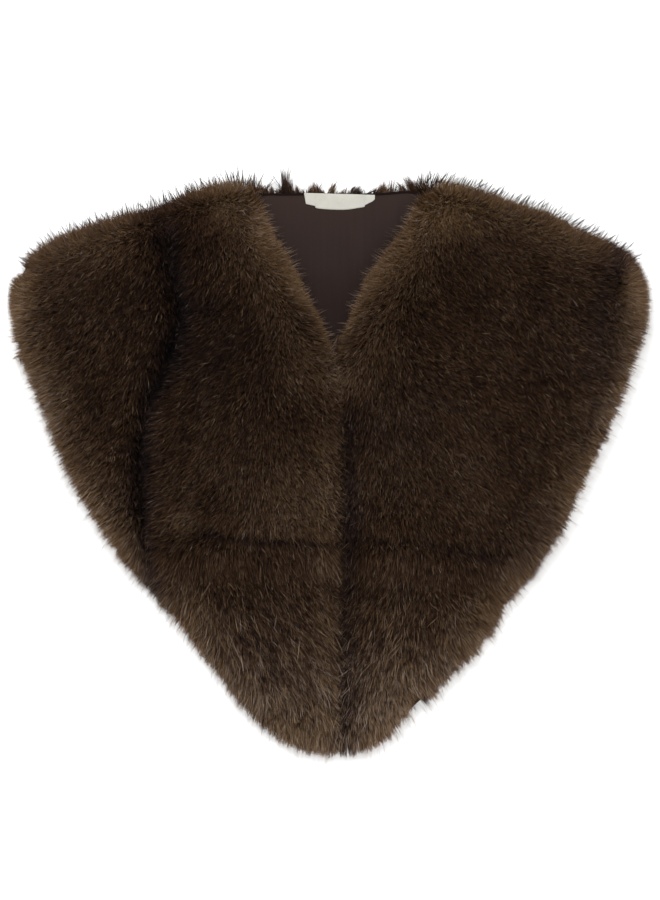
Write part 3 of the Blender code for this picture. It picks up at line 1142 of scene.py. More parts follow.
def locks_of(points, spacing, rng):
    """Which lock each root belongs to: the nearest point of a grid whose points are moved at random."""
    low = points[:, :2].min(0) - 2 * spacing
    size = np.ceil((points[:, :2].max(0) - low) / spacing).astype(int) + 3
    jitter = rng.uniform(*LOCK_ROOM, (size[0], size[1], 2))
    cell = ((points[:, :2] - low) / spacing).astype(int)
    best = np.full(len(points), np.inf)
    lock = np.zeros(len(points), int)
    for dx in (-1, 0, 1):
        for dy in (-1, 0, 1):
            at = cell + (dx, dy)
            centre = low + (at + jitter[at[:, 0], at[:, 1]]) * spacing
            away = np.hypot(*(points[:, :2] - centre).T)
            nearer = away < best
            best[nearer] = away[nearer]
            lock[nearer] = at[nearer, 0] * size[1] + at[nearer, 1]
    return numbered(lock)


def gather(paths, lock, pull):
    """Draws each lock together: every point moves towards the lock's mean, more towards the tip."""
    count = np.bincount(lock).astype(float)
    mean = np.empty_like(paths)
    for i in range(paths.shape[1]):
        for axis in range(3):
            mean[:, i, axis] = (np.bincount(lock, paths[:, i, axis]) / count)[lock]
    share = np.linspace(0.0, 1.0, paths.shape[1])[:, None] * np.reshape(pull, (-1, 1, 1))
    return paths + (mean - paths) * share


def grow(points, normals, turn, length, stand, pieces):
    """Paths of hairs, root to tip. Each piece goes along the lay, plus lift times the normal, less droop."""
    lay = np.column_stack([heading(turn), np.zeros_like(turn)])
    path = [points]
    for share, lift, droop in pieces:
        way = unit(normals * (lift * stand)[:, None] + lay - droop * UP)
        path.append(path[-1] + way * (share * length)[:, None])
    return np.stack(path, 1)


def trimmed(paths, outline, reach):
    """Shortens each hair about its root until its tip lies no further outside the outline than its reach.

    Each hair's length is found by halving. Hairs that would be left as stubs are marked to go.
    """
    root = paths[:, :1]
    share = np.ones(len(paths))
    long = np.flatnonzero(outside(paths[:, -1, :2], outline) > reach)
    low, high = np.zeros(len(long)), np.ones(len(long))
    for _ in range(HALVINGS):
        middle = 0.5 * (low + high)
        tip = root[long, 0, :2] + (paths[long, -1, :2] - root[long, 0, :2]) * middle[:, None]
        far = outside(tip, outline) > reach[long]
        high = np.where(far, middle, high)
        low = np.where(far, low, middle)
    share[long] = low
    return root + (paths - root) * share[:, None, None], share > STUB


def edge_reach(points):
    """What the edge marks add to the reach of the hairs about them, each as a bell."""
    return sum(more * bell(points, x, y, radius) for x, y, radius, more in EDGE_MARKS)


def notched(paths, outline, reach):
    """Trims hairs to the outline, further where a tuft stands out and then back where the edge is parted."""
    paths, kept = trimmed(paths, outline, reach + np.maximum(edge_reach(paths[:, -1]), 0.0))
    parted = np.flatnonzero(edge_reach(paths[:, -1]) < PARTED_BELOW)
    less = reach[parted] + edge_reach(paths[parted, -1])
    paths[parted], still = trimmed(paths[parted], outline, less)
    kept[parted] &= still
    return paths, kept


def strayed(tone, rng):
    """The same tones, with a few hairs among them that have any tone at all."""
    return np.where(rng.random(len(tone)) < STRAYS, rng.random(len(tone)), tone)


def picked(share, count, rng):
    """1 for that share of the hairs, picked at random, and 0 for the rest."""
    return (rng.random(count) < share).astype(float)


def hair_mesh(name, material, paths, normals, width, roll, tone, cool, root, lean):
    """Tapered ribbons: a quad for each piece of a hair, and a triangle for its last.

    The width lies across the hair, rolled about it by an angle. U holds the brown, and V the way along
    from the painted shade at the root, or from further up where the fur is so dense that no root shows.
    The shading looks square to the hair, and leans a little to the surface's normal, so that both of its
    sides take light.
    """
    count, steps = paths.shape[:2]
    last = steps - 1
    way = unit(np.gradient(paths, axis=1))
    face = unit(normals[:, None] - (normals[:, None] * way).sum(-1, keepdims=True) * way)
    across = np.cross(way, face)
    turned = across * np.cos(roll)[:, None, None] + face * np.sin(roll)[:, None, None]
    half = 0.5 * width[:, None, None] * np.linspace(1.0, TAPER, last)[:, None]
    left = paths[:, :last] - turned[:, :last] * half
    right = paths[:, :last] + turned[:, :last] * half
    sides = np.stack([left, right], 2).reshape(count, 2 * last, 3)
    points = np.concatenate([sides, paths[:, last:]], 1)
    quads = [(2 * i, 2 * i + 1, 2 * i + 3, 2 * i + 2) for i in range(last - 1)]
    corners = np.concatenate([np.ravel(quads), [2 * last - 2, 2 * last - 1, 2 * last]]).astype(int)
    each = np.arange(count)[:, None]
    loops = (each * (2 * last + 1) + corners).ravel()
    starts = (each * len(corners) + 4 * np.arange(last)).ravel()
    u = 0.5 * np.clip(tone, *TONE_ENDS) + 0.5 * cool
    spread = np.append(np.tile([-1.0, 1.0], last), 0.0) * TONE_SPREAD
    along = np.append(np.repeat(np.arange(last) / last, 2), 1.0)
    root = root[:, None]
    uv = np.stack([u[:, None] + spread, root + (TIP_V - root) * along], -1)
    mesh = make_mesh(name, points.reshape(-1, 3), loops, starts, [material], uv[:, corners].reshape(-1, 2))
    soft = np.concatenate([np.repeat(face[:, :last], 2, axis=1), face[:, last:]], 1)
    shading = unit(soft + lean[:, None, None] * normals[:, None])
    mesh.normals_split_custom_set_from_vertices(shading.reshape(-1, 3))
    return mesh


def add_hair(name, slot, material, kept, paths, normals, width, roll, tone, cool, root=ROOT_V, lean=0.0):
    """The hairs that are kept, as one piece of the part."""
    root, lean = (np.broadcast_to(value, len(paths)) for value in (root, lean))
    each = (paths, normals, width, roll, tone, cool, root, lean)
    return add_piece(name, hair_mesh(name, material, *(one[kept] for one in each)), slot)


def band(away, width):
    """1 near an edge and 0 far from it, for a band of that width."""
    return fading(away, BAND_SOLID * width, width)


def golden_share(at, inner, outer, joined):
    """How far each root is in the pale bands: along the V, on the crown, along the shoulder, along the side.

    Then what the same edges add to the tone in wider, fainter bands, with painted rim light along the side,
    and the way out past the shoulder's edge, at full length on the edge and nought a little way in.
    """
    above = smooth((at[:, 1] - JOIN_TOP) / ABOVE_BLEND)
    out_of_painted_shade = distance(at, inner[~joined])
    peak = np.argmax(np.abs(outer[:, 0]))
    off_shoulder = offset_from(at, outer[: peak + 1])
    to_shoulder = np.linalg.norm(off_shoulder, axis=-1)
    to_side = distance(at, outer[peak:])
    crown = smooth((at[:, 1] - CROWN_FROM) / CROWN_DEPTH)
    crown *= smooth((CROWN_HALF - np.abs(at[:, 0])) / CROWN_BLEND)
    neck = band(out_of_painted_shade, NECK_BAND + NECK_BAND_ABOVE * above)
    wide = [
        gold * fading(away, WIDE_FROM, WIDE_BLEND)
        for gold, away in zip(WIDE_GOLD_AND_RIM_LIGHT, (out_of_painted_shade, to_shoulder, SIDE_CLOSER * to_side))
    ]
    turned_out = -unit(off_shoulder) * band(to_shoulder, TURN_OUT)[:, None]
    shoulder, side = band(to_shoulder, SHOULDER_BAND), band(to_side, EDGE_BAND)
    return neck, crown, shoulder, side, np.max(wide, axis=0), turned_out


def front_coat(side, rows, lays, top, coat, material, rng):
    """One coat of one front's fur, as a piece of hairs that follow the lay and gather into fine locks."""
    label, pieces, count, long, wide, tone_mean, tone_spread, reach_mean, reach_spread, stray = coat
    is_down, is_guard = label == "down", label == "guard_hair"
    inner, outer, joined = front_edges(rows, side, EDGE_POINTS)
    roots, normals = scatter(top, surface_normals(top, UP), count, rng)
    at = roots[:, :2]
    long_fur = smooth((LONG_FROM - at[:, 1]) / LONG_BLEND)
    fine, coarse = locks_of(roots, FINE_LOCKS, rng), locks_of(roots, COARSE_LOCKS, rng)
    lock = numbered(np.where(rng.random(count) < long_fur, coarse + fine.max() + 1, fine))
    per_lock = rng.normal(0, 1, (4, lock.max() + 1))[:, lock]
    beside_neck, crown, shoulder, edge, wide_gold_and_rim_light, turned_out = golden_share(at, inner, outer, joined)
    neck = np.maximum(BESIDE_NECK[side > 0] * beside_neck, CROWN_GOLD[side > 0] * crown)
    crease = fold_depth(at) / FULL_FOLD
    shade, cold = shade_of(at)
    glint = long_fur * is_guard * smooth(per_lock[1] - GLINT_FROM)
    strip_middle, strip_width, strip_tone_and_shadow, strip_shadow_cool = JOIN_STRIPS_AND_SHADOW[side > 0]
    past_join = side * (at[:, 0] - join_x(at[:, 1]))
    beside_join = smooth((STRIP_TOP - at[:, 1]) / STRIP_BLEND) * hump(past_join - strip_middle, strip_width)

    turn, firm = lay_of(at, lays)
    out = np.linalg.norm(turned_out, axis=-1)
    lay = heading(turn) * (1 - out)[:, None] + turned_out
    turn = np.arctan2(lay[:, 1], lay[:, 0])
    parted = 1 - np.minimum(np.linalg.norm(lay, axis=-1), 1.0)
    plush = np.maximum(np.maximum(beside_neck, PLUSH_CROWN * crown), PLUSH_SHOULDER * shoulder)
    spread = stray + PLUSH_SPREAD * plush + PARTED_SPREAD * parted
    turn += rng.normal(0, 1, count) * spread + LOCK_TURN * per_lock[0]
    turn += swings(roots, TURN_SWINGS, rng)
    length = long * rng.uniform(*LENGTHS, count) * (1 + LOCK_LONGER * per_lock[1])
    length *= (1 - SHORTER * plush - CREASE_SHORTER * crease) * (1 + FRINGE * edge + GLINT_LONGER * glint)
    stand = rng.uniform(*STANDS, count) * (1 - EDGE_LAID * edge)
    stand *= 1 - DOWN_LAID * plush if is_down else 1 + UPRIGHT * plush + PARTED_STAND * parted
    stand *= (1 + SHORT_STAND * (1 - long_fur)) * (1 - LONG_LAID * long_fur) * (1 - GLINT_LAID * glint)
    stand *= (1 + LOCK_STAND * per_lock[2]) / np.maximum(firm, LEAST_FIRM)
    paths = grow(roots, normals, turn, length, stand, pieces)
    paths = gather(paths, lock, LOCK_PULL * (1 - PLUSH_LOOSE * plush) * rng.uniform(*PULLS, count))

    teeth = LOCK_TEETH * per_lock[3] + swings(roots, TEETH_SWINGS, rng)
    teeth *= (1 - NECK_EVEN * beside_neck) * (1 - SHOULDER_EVEN * shoulder) * (1 + EDGE_UNEVEN * edge)
    reach = rng.normal(reach_mean, reach_spread, count) + teeth
    if is_guard:
        wisp = WISP + EDGE_WISP * edge * (1 - shoulder)
        reach += rng.exponential(1.0, count) * wisp * (1 - SHOULDER_CALM * shoulder)
        reach += FUZZ * beside_neck * rng.random(count)
    else:
        reach -= NECK_DRAWN_IN * beside_neck
    lapped = inner + np.outer(LAP * (side < 0) * join_share(inner[:, 1]), (1.0, 0.0))
    outline = np.vstack([lapped, outer[::-1], lapped[:1]])
    paths, kept = notched(paths, outline, reach)
    floor = (FRONT_SEAT - LOWEST_HAIR) * on_back(paths[..., :2]) + LOWEST_HAIR
    paths[..., 2] = np.maximum(paths[..., 2], floor)
    paths[..., 2] -= CEILING_PRESS * np.maximum(paths[..., 2] - SOFT_CEILING, 0.0)

    tone = tone_mean + shade + wide_gold_and_rim_light + NECK_GOLD * neck + DOWN_GOLD * plush * is_down
    # Paler along the shoulder, and painted rim light down the side.
    tone += np.maximum(SHOULDER_GOLD * shoulder, PAINTED_EDGE_LIGHT * edge) * (1 - neck)
    # Painted shade along the folds.
    tone -= CREASE_PAINTED_SHADE * np.minimum(crease, 1.0) * (1 - neck)
    tone -= SHOULDER_RIM * out
    # Beside the join: painted shadow on the right, under the lapping left front, and a paler strip on the
    # left.
    tone += strip_tone_and_shadow * beside_join
    # Painted glint: some locks of pale guard hair low down get a paler brown.
    tone += swings(roots, TONE_SWINGS, rng) + PAINTED_GLINT * glint
    swing = tone_spread * (1 - PLUSH_EVEN * plush)
    swing *= 1 + LONG_UNEVEN * np.maximum(long_fur, EDGE_SWING * edge)
    tone += swing * (LOCK_TONE * per_lock[1] + rng.exponential(1.0, count) - 1.0)
    tone = strayed(tone, rng)
    cold += (COOL_SHARE + swings(roots, COOL_SWINGS, rng)) * (1 - neck)
    # The painted shadow beside the join is cooler.
    cold += strip_shadow_cool * beside_join
    # Cooler hairs in the folds, as part of their painted shade.
    cold += CREASE_PAINTED_SHADE_COOL * crease
    cold += NECK_COOL * beside_neck * is_guard
    cool = picked(cold, count, rng)
    width = wide * rng.uniform(*WIDTHS, count) * (1 + PLUSH_WIDER * plush)
    roll = rng.normal(0, ROLL, count) * (1 - PLUSH_FLAT * plush)
    root = ROOT_V + ROOT_HIDDEN * np.maximum(np.maximum(plush, parted), EDGE_HIDDEN * edge)
    looks = (width, roll, tone, cool, root, PLUSH_LEAN * plush)
    name = f"{'left' if side < 0 else 'right'}_front_{label}"
    return add_hair(name, "fur_front", material, kept, paths, normals, *looks)


# ---------------------------------------------------------------- the back's fur

BACK_TONE_SPREAD = 0.07

# Hair pressed under the back.
PRESSED_HAIRS = 16000
PRESSED_LENGTHS = (20.0, 27.0)
PRESSED_STANDS = (0.06, 0.16)
PRESSED_HEIGHTS = (0.85, 1.8)
PRESSED_WIDTHS = (0.9, 1.5)
PRESSED_SWINGS = ((25.0, 0.3),)
PRESSED_STRAY = 0.2
PRESSED_LOCKS = 6.0
PRESSED_PULL = 0.5
PRESSED_REACH = 1.5
PRESSED_ROLL = 0.3
FAN_FROM = 9.0
FAN_BLEND = 14.0
FAN_RADIUS = 700.0

# Hair round the back's rim. RIM_OVER is how far past the edge, along the shoulders and along the hem: the
# least, and what a full clump adds.
RIM_HAIRS = 9000
RIM_STEP = 2.0
RIM_INSETS = (6.0, 11.0)
RIM_HEIGHTS = (1.0, 10.5)
RIM_ABOVE = 6.0
RIM_STANDS = (-0.05, 0.30)
RIM_STRAY = 0.28
RIM_SWINGS = ((14.0, 0.3),)
RIM_LOCKS = 3.0
RIM_PULLS = (0.75, 0.97)
RIM_OVER = ((1.5, 3.0), (0.5, 4.0))
RIM_SHARES = (0.7, 1.05)
RIM_MARKED = 1.2
RIM_WIDTHS = (0.25, 0.50)
RIM_FACING = 0.35
RIM_LEAN = 1.3
CLUMPED = 0.7
CLUMP_SWINGS = ((11.0, 0.6),)
CLUMP_ENDS = (0.2, 1.2)
NECK_THINNED = 1.2

# Needles past the shoulders.
NEEDLE_GAPS = (0.5, 2.2)
MOST_NEEDLES = 800
NEEDLE_HAIRS = 3
NEEDLES_TO = 281.0
NEEDLE_INSET = 3.0
NEEDLE_OVER = (13.0, 23.0)
NEEDLE_SHARES = (0.6, 1.0)
NEEDLE_HEIGHTS = (7.0, 11.5)
NEEDLE_WIDTHS = (0.34, 0.48)
NEEDLE_TONES = (0.10, 0.26)
NEEDLE_PALER = 0.03
NEEDLE_COOL = 0.35
NEEDLE_RIGHTWARD = 0.34
NEEDLE_FAN = 0.22
NEEDLE_STRAY = 0.05
NEEDLE_APART = 0.3
NEEDLE_STAND = 0.15
NEEDLE_PULL = 0.6
NEEDLE_ROLL = 0.5
SLOPE_STEP = 4.0

# Tufts, each with a few points.
MOST_POINTS = 8
POINT_SHIFT = 0.5
POINT_LONGER = 0.30
POINT_TURN = 0.22
TUFT_DEPTHS = (0.0, 5.0)
TUFT_HEIGHTS = (0.25, 1.0)
TUFT_SHARES = (0.30, 1.05)
TUFT_STANDS = (0.0, 0.35)
TUFT_WIDTHS = (0.20, 0.42)
TUFT_SLOPE = 0.60
TUFT_BLUNT = 0.8
TUFT_PULL = 0.85
TUFT_STRAY = 0.13
TUFT_FAN = 0.25
TUFT_ROOT = 0.25
TUFT_PALER = 0.11
TUFT_DARKER = 0.09
TUFT_COOL = 0.25
LONE_SHARE = 0.06
LONE_LONGER = 1.4


def back_outline(edge):
    """The back's closed outline, out along its top edge and round by its hem."""
    return np.vstack([edge[:, [0, 1]], edge[::-1, [0, 2]], edge[:1, [0, 1]]])


def way_along(line):
    """The way from the start of a polyline to each of its points."""
    return np.append(0.0, np.cumsum(np.linalg.norm(np.diff(line, axis=0), axis=1)))


def after(at, travelled, line):
    """Points of a polyline, each after that much of the way."""
    return np.stack([np.interp(at, travelled, line[:, i]) for i in range(2)], -1)


def dark_browns(roots, mean, swing, cool_share, rng):
    """Tone of the back's hairs, most of them dark and a few paler, and which of them are cool."""
    tone = mean + swings(roots, swing, rng) + BACK_TONE_SPREAD * rng.exponential(1.0, len(roots))
    return strayed(tone, rng), picked(cool_share, len(roots), rng)


def back_pressed(under, material, rng):
    """The back's fur under the collar, pressed flat by its weight: hairs that lie towards the hem.

    Beside the neck and the shoulders they fan round until they lie out towards the edge.
    """
    count = PRESSED_HAIRS
    roots, normals = scatter(under, surface_normals(under, -UP), count, rng)
    edge = smooth_rows(BACK, EDGE_POINTS)
    fanned = fading(distance(roots[:, :2], edge[:, :2]), FAN_FROM, FAN_BLEND)
    turn = np.radians(-90.0) + roots[:, 0] / FAN_RADIUS + swings(roots, PRESSED_SWINGS, rng)
    turn += np.pi * fanned * np.sign(roots[:, 0])
    turn += rng.normal(0, PRESSED_STRAY, count)
    length, stand = rng.uniform(*PRESSED_LENGTHS, count), rng.uniform(*PRESSED_STANDS, count)
    paths = grow(roots, normals, turn, length, stand, LAID_PIECES)
    paths = gather(paths, locks_of(roots, PRESSED_LOCKS, rng), PRESSED_PULL)
    low = rng.uniform(*PRESSED_HEIGHTS, count)[:, None]
    paths[:, 1:, 2] = np.maximum(paths[:, 1:, 2], low)
    paths, kept = trimmed(paths, back_outline(edge), rng.normal(0.0, PRESSED_REACH, count))
    tone, cool = dark_browns(roots, 0.30, ((18.0, 0.05),), 0.2, rng)
    width, roll = rng.uniform(*PRESSED_WIDTHS, count), rng.normal(0, PRESSED_ROLL, count)
    return add_hair("back_pressed_hair", "fur_back", material, kept, paths, normals, width, roll, tone, cool)


def back_rim(material, rng):
    """The back's fur round its rim: dark hairs that point out past the edge at every height.

    Roots lie at even odds along the closed edge of the back, and fewer along the neck, where tufts stand.
    """
    count = RIM_HAIRS
    edge = smooth_rows(BACK, 2 * EDGE_POINTS)
    line = back_outline(edge)
    travelled = way_along(line)
    at = rng.random(count) * travelled[-1]
    points = after(at, travelled, line)
    along = unit(after(at + RIM_STEP, travelled, line) - after(at - RIM_STEP, travelled, line))
    outward = turned_left(along)
    upper = points[:, 1] > np.interp(points[:, 0], edge[:, 0], edge[:, 1]) - 1.0
    inset, height = rng.uniform(*RIM_INSETS, count), rng.uniform(*RIM_HEIGHTS, count)
    roots = np.column_stack([points - outward * inset[:, None], height])
    turn = np.arctan2(outward[:, 1], outward[:, 0]) + rng.normal(0, RIM_STRAY, count)
    turn += swings(roots, RIM_SWINGS, rng)
    lock = locks_of(np.column_stack([at, np.zeros(count)]), RIM_LOCKS, rng)
    drawn, clump = rng.random((2, lock.max() + 1))[:, lock]
    clump = clump * np.clip(CLUMPED + swings(roots, CLUMP_SWINGS, rng), *CLUMP_ENDS)
    over = np.where(upper, *(least + more * clump for least, more in RIM_OVER))
    over = over * rng.uniform(*RIM_SHARES, count)
    length = np.maximum(inset + over + RIM_MARKED * np.minimum(edge_reach(points), 0.0), 1.0)
    up = np.broadcast_to(UP, roots.shape)
    paths = grow(roots, up, turn, length, rng.uniform(*RIM_STANDS, count), LAID_PIECES)
    paths = gather(paths, lock, rng.uniform(*RIM_PULLS, count))
    paths[..., 2] = np.clip(paths[..., 2], LOWEST_HAIR, BACK_TOP + RIM_ABOVE * upper[:, None])
    tone, cool = dark_browns(roots, 0.32, ((16.0, 0.05),), 0.25, rng)
    width, roll = rng.uniform(*RIM_WIDTHS, count), rng.normal(0, ROLL, count)
    kept = drawn > NECK_THINNED * neck_share(points[:, 0]) * upper
    facing = unit(np.column_stack([outward, np.full(count, RIM_FACING)]))
    looks = (width, roll, tone, cool, ROOT_V, RIM_LEAN)
    return add_hair("back_rim_hair", "fur_back", material, kept, paths, facing, *looks)


def shoulder_needles(material, rng):
    """Thin dark needles past the shoulders: a few hairs each, from one spot to one point, unevenly apart."""
    edge = smooth_rows(BACK, 4 * EDGE_POINTS)[:, :2]
    edge = edge[neck_share(edge[:, 0]) < 0.5]
    travelled = way_along(edge)
    stops = np.cumsum(rng.uniform(*NEEDLE_GAPS, MOST_NEEDLES))
    base = after(stops[stops < travelled[-1]], travelled, edge)
    base = base[(neck_share(base[:, 0]) < 0.5) & (np.abs(base[:, 0]) < NEEDLES_TO)]
    ahead, behind = (np.interp(base[:, 0] + step, *edge.T) for step in (SLOPE_STEP, -SLOPE_STEP))
    slope = (ahead - behind) / (2 * SLOPE_STEP)
    needles, count = len(base), len(base) * NEEDLE_HAIRS
    lock = np.repeat(np.arange(needles), NEEDLE_HAIRS)
    turn = np.pi / 2 + np.arctan(slope) - NEEDLE_RIGHTWARD * (base[:, 0] > 0.0)
    turn = (turn + rng.normal(0.0, NEEDLE_FAN, needles))[lock]
    over = (rng.uniform(*NEEDLE_OVER, needles) * rng.uniform(*NEEDLE_SHARES, needles))[lock]
    flat = base[lock] - heading(turn) * NEEDLE_INSET + rng.normal(0.0, NEEDLE_APART, (count, 2))
    roots = np.column_stack([flat, rng.uniform(*NEEDLE_HEIGHTS, count)])
    length = (NEEDLE_INSET + over) * rng.uniform(*NEEDLE_SHARES, count)
    up = np.broadcast_to(UP, roots.shape)
    turn = turn + rng.normal(0, NEEDLE_STRAY, count)
    paths = grow(roots, up, turn, length, np.full(count, NEEDLE_STAND), LAID_PIECES)
    paths = gather(paths, lock, NEEDLE_PULL)
    tone = rng.uniform(*NEEDLE_TONES, needles)[lock] + NEEDLE_PALER * rng.exponential(1.0, count)
    cool = picked(NEEDLE_COOL, count, rng)
    width, roll = rng.uniform(*NEEDLE_WIDTHS, count), rng.normal(0, NEEDLE_ROLL, count)
    return add_hair("back_needles", "fur_back", material, slice(None), paths, up, width, roll, tone, cool)


def tufts(name, table, slot, material, rng):
    """Separate tufts: hairs from a short base that lean in towards a few points.

    A hair's length falls with its distance from the middle of its point, so that each point is a peak.
    """
    hairs = [row[-1] for row in table]
    total = sum(hairs)
    which = np.repeat(np.arange(len(table)), hairs)
    x, y, base_z, wide, long, degrees, tone, points, _ = np.array(table, float)[which].T
    place = rng.random(total) * points
    point = np.minimum(place.astype(int), points - 1)
    aside = 2.0 * (place - point) - 1.0
    lock = numbered(which * MOST_POINTS + point)
    per_point = rng.uniform(-1, 1, (3, lock.max() + 1))[:, lock]
    half = 0.5 * wide / points
    middle = (2.0 * point + 1.0) * half - 0.5 * wide + POINT_SHIFT * half * per_point[2]
    turn = np.radians(degrees)
    depth = rng.uniform(*TUFT_DEPTHS, total)
    lay = heading(turn)
    across = turned_left(lay)
    flat = np.stack([x, y], -1) + across * (middle + aside * half)[:, None] - lay * depth[:, None]
    roots = np.column_stack([flat, base_z * rng.uniform(*TUFT_HEIGHTS, total)])
    peak = 1.0 - TUFT_SLOPE * np.abs(aside) ** TUFT_BLUNT
    over = long * (1 + POINT_LONGER * per_point[1]) * peak * rng.uniform(*TUFT_SHARES, total)
    over *= np.where(rng.random(total) < LONE_SHARE, LONE_LONGER, 1.0)
    lean = turn - np.arctan2(TUFT_PULL * aside * half, long) + POINT_TURN * per_point[0]
    lean += rng.normal(0, TUFT_STRAY, total) + TUFT_FAN * middle / wide
    up = np.broadcast_to(UP, roots.shape)
    paths = grow(roots, up, lean, depth + over, rng.uniform(*TUFT_STANDS, total), TUFT_PIECES)
    paths[..., 2] = np.maximum(paths[..., 2], LOWEST_HAIR)
    tone = strayed(tone + TUFT_PALER * rng.exponential(1.0, total) - TUFT_DARKER, rng)
    cool = picked(TUFT_COOL, total, rng)
    width, roll = rng.uniform(*TUFT_WIDTHS, total), rng.normal(0, ROLL, total)
    return add_hair(name, slot, material, slice(None), paths, up, width, roll, tone, cool, TUFT_ROOT)


# ---------------------------------------------------------------- lining and label

LINING_SECTIONS = 110
LINING_ACROSS = 64
FINER_AT_EDGE = 1.6
SHOULDER_TURNING = 13.0
NECK_TURNING = 6.0
HEM_TURNING = 22.0
NECK_ARCH = 1.4
ARCH_HALF = 42.0
WAVE_RISE = 0.16
EDGE_DROP = 0.3
EDGE_SOFT = 0.6
ROLL_COLUMNS = 4

# The rolled edge: how far from the edge, half width, and height or depth.
ROLL_RIDGE = (1.2, 1.1, 0.45)
ROLL_GROOVE = (4.0, 1.3, 0.25)


def back_lining(cloth, rolled):
    """The lining as a thin shell on the back, with soft waves and a rolled edge along the neck.

    Its height is a product of two sines, plus a hump along the top edge, less a groove behind it.
    """
    x, top_y, low_y = smooth_rows(BACK, LINING_SECTIONS)[4:-4].T[..., None]
    neck = neck_share(x)
    rise = NECK_ARCH * neck * hump(x - NECK_CENTRE, ARCH_HALF)
    high = top_y - SHOULDER_TURNING + (SHOULDER_TURNING - NECK_TURNING) * neck + rise
    low = low_y + HEM_TURNING
    share = 1 - (1 - np.linspace(0.0, 1.0, LINING_ACROSS)) ** FINER_AT_EDGE
    y = low + (high - low) * share
    x = np.broadcast_to(x, y.shape)
    wave = np.sin(x / 21.0 + y / 34.0) * np.sin(y / 17.0 - x / 60.0)
    down = high - y
    (ridge_at, ridge_half, ridge), (groove_at, groove_half, groove) = ROLL_RIDGE, ROLL_GROOVE
    roll = ridge * hump(down - ridge_at, ridge_half) - groove * hump(down - groove_at, groove_half)
    crown = LINING_TOP + WAVE_RISE * wave + neck * roll - EDGE_DROP * np.exp(-down / EDGE_SOFT)
    top = np.stack([x, y, crown], -1)
    base = np.stack([x, y, np.full_like(y, LINING_BASE)], -1)[:, ::3]
    rings = np.concatenate([top, base[:, ::-1]], 1)
    in_roll = np.arange(rings.shape[1])
    in_roll = (in_roll >= top.shape[1] - ROLL_COLUMNS) & (in_roll <= top.shape[1])
    mesh = ring_mesh("back_lining_cloth", rings, [cloth, rolled], in_roll)
    return add_piece("back_lining_cloth", mesh, "lining", "back_lining")


LABEL_AT = (8.5, 252.4)
LABEL_TILT = -0.021
LABEL_HALF = 33.6
LABEL_DEPTH = 14.0
LABEL_CURL = 0.22
LABEL_THIN = 0.30
LABEL_THICK = 0.35
LABEL_HEM = 0.8
LABEL_STIFF = 3.0
LABEL_LIFT = 0.45
LABEL_EDGE = (
    # x, top_y, low_y
    (-31.8, 0.3, -1),
    (-31.2, 0.3, -4.6),
    (-30.4, 0.2, -9),
    (-29.4, 0.1, -10.3),
    (-22, 0, -11.9),
    (-20.8, 0, -13.7),
    (-12.5, 0, -14.6),
    (-2, -0.1, -14.9),
    (8.5, -0.1, -14.5),
    (17, -0.2, -13),
    (23.6, -0.3, -11.7),
    (24.6, -0.3, -10),
    (31, -0.4, -6.6),
    (33.4, -0.5, -4.4),
)


def neck_label(material):
    """The bare label as a thin shell: sections across it, a hem along its ends, and a slow curl.

    The curl is a sine along the label times half a sine from its top edge to its low one.
    """
    x, top_y, low_y = smooth_rows(LABEL_EDGE, 64).T[..., None]
    y = low_y + (top_y - low_y) * np.linspace(0.0, 1.0, 20)
    x = np.broadcast_to(x, y.shape)
    rim = np.minimum(np.minimum(y - low_y, top_y - y), LABEL_HALF - np.abs(x))
    curl = LABEL_CURL * np.sin(x / 7.0 + 0.6) * np.sin(np.pi * np.clip(-y / LABEL_DEPTH, 0.0, 1.0))
    crown = LABEL_THIN + LABEL_THICK * smooth(rim / LABEL_HEM) + curl * smooth(rim / LABEL_STIFF)
    z = LINING_TOP + LABEL_LIFT
    across = x + LABEL_AT[0]
    up = y + LABEL_AT[1] + LABEL_TILT * x
    top = np.stack([across, up, z + crown], -1)
    base = np.stack([across, up, np.full_like(y, z)], -1)[:, ::2]
    mesh = ring_mesh("neck_label_tape", np.concatenate([top, base[:, ::-1]], 1), [material])
    return add_piece("neck_label_tape", mesh, "label", "neck_label")


# ---------------------------------------------------------------- the stage


def area_light(name, place, size, power):
    """A square white light that faces the collar."""
    light = bpy.data.lights.new(name, "AREA")
    light.size = size
    light.energy = power
    lamp = bpy.data.objects.new(name, light)
    lamp.location = place
    lamp.rotation_euler = (-lamp.location).to_track_quat("-Z", "Y").to_euler()
    bpy.context.scene.collection.objects.link(lamp)


CAMERA_AT = (0.0005, 0.0161)
CAMERA_LENS = 260.0
CAMERA_SENSOR = 36.0
FRAME_HEIGHT = 0.828
FRAME_LEVEL = 0.026


def look_down():
    """A long-lens camera straight above the collar, its frame as tall as the frame height at the fur."""
    camera = bpy.data.cameras.new("camera")
    camera.lens = CAMERA_LENS
    camera.sensor_fit = "VERTICAL"
    camera.sensor_height = CAMERA_SENSOR
    above = bpy.data.objects.new("camera", camera)
    above.location = (*CAMERA_AT, FRAME_LEVEL + FRAME_HEIGHT * CAMERA_LENS / CAMERA_SENSOR)
    camera.clip_end = 100.0
    bpy.context.scene.collection.objects.link(above)
    bpy.context.scene.camera = above
    bpy.context.scene.view_settings.view_transform = "Standard"


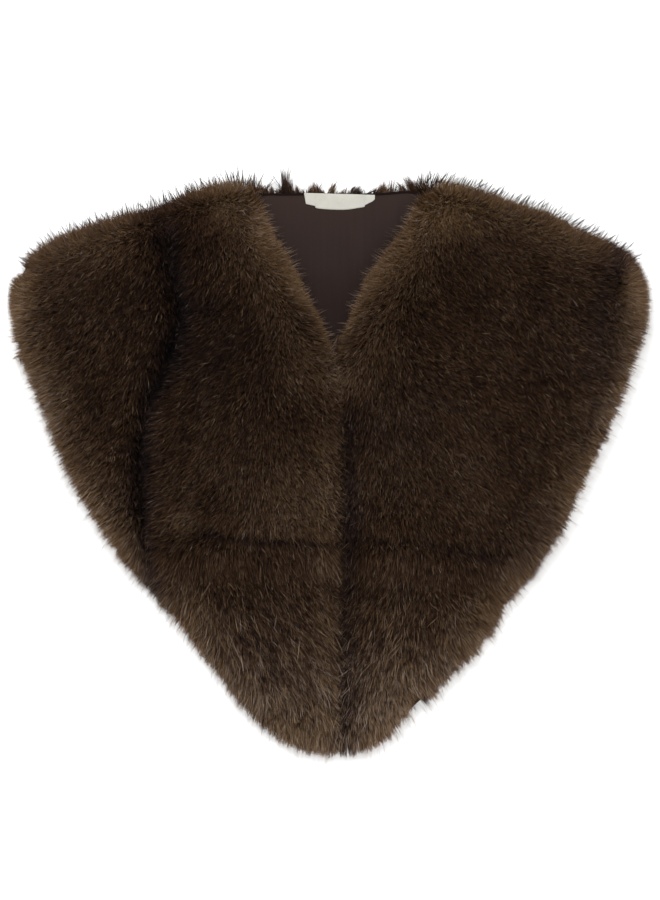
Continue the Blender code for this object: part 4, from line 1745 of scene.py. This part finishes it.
def light_stage():
    """A white floor and soft light: an even white surround, and two large lights from the neck's side."""
    mesh = bpy.data.meshes.new("floor")
    mesh.from_pydata([(-4, -4, 0), (4, -4, 0), (4, 4, 0), (-4, 4, 0)], [], [(0, 1, 2, 3)])
    floor = bpy.data.objects.new("floor", mesh)
    bpy.context.scene.collection.objects.link(floor)
    finish = Finish("pale_floor", Roughness=0.9, Base_Color=(0.86, 0.86, 0.86))
    finish.set("Emission Color", (1.0, 1.0, 1.0))
    finish.set("Emission Strength", 0.45)
    mesh.materials.append(finish.material)
    world = bpy.data.worlds.new("studio")
    world.use_nodes = True
    surround = world.node_tree.nodes["Background"].inputs
    surround["Color"].default_value = (1.0, 1.0, 1.0, 1.0)
    surround["Strength"].default_value = 0.55
    bpy.context.scene.world = world
    area_light("key", (-0.5, 1.2, 2.2), 1.2, 42.0)
    area_light("fill", (1.3, -0.3, 1.9), 1.4, 10.0)


def dress():
    hair = fur_finish()
    underfur = underfur_shade_finish()
    cloth = lining_finish()
    tape = label_finish()
    fronts = ((-1, "left", LEFT_FRONT, LEFT_LAY), (1, "right", RIGHT_FRONT, RIGHT_LAY))
    for side, name, rows, lays in fronts:
        top, rings = front_skin(rows, side)
        under = np.arange(rings.shape[1]) >= ACROSS
        mesh = ring_mesh(f"{name}_front_skin", rings, [underfur, cloth], under)
        skin = add_piece(f"{name}_front_skin", mesh, "fur_front", f"front_{name}")
        rng = np.random.default_rng(20 + side)
        fur = [front_coat(side, rows, lays, top, coat, hair, rng) for coat in COATS]
        if side < 0:
            fur.append(tufts("v_foot_wisps", FOOT_WISPS, "fur_front", hair, rng))
    under, rings = back_skin()
    skin = add_piece("back_skin", ring_mesh("back_skin", rings, [underfur]), "fur_back", "back_panel")
    rng = np.random.default_rng(30)
    fur = [back_pressed(under, hair, rng), back_rim(hair, rng), shoulder_needles(hair, rng)]
    fur.append(tufts("back_tufts", TUFTS, "fur_back", hair, rng))
    lining = back_lining(cloth, rolled_edge_finish())
    label = neck_label(tape)


look_down()
light_stage()
dress()
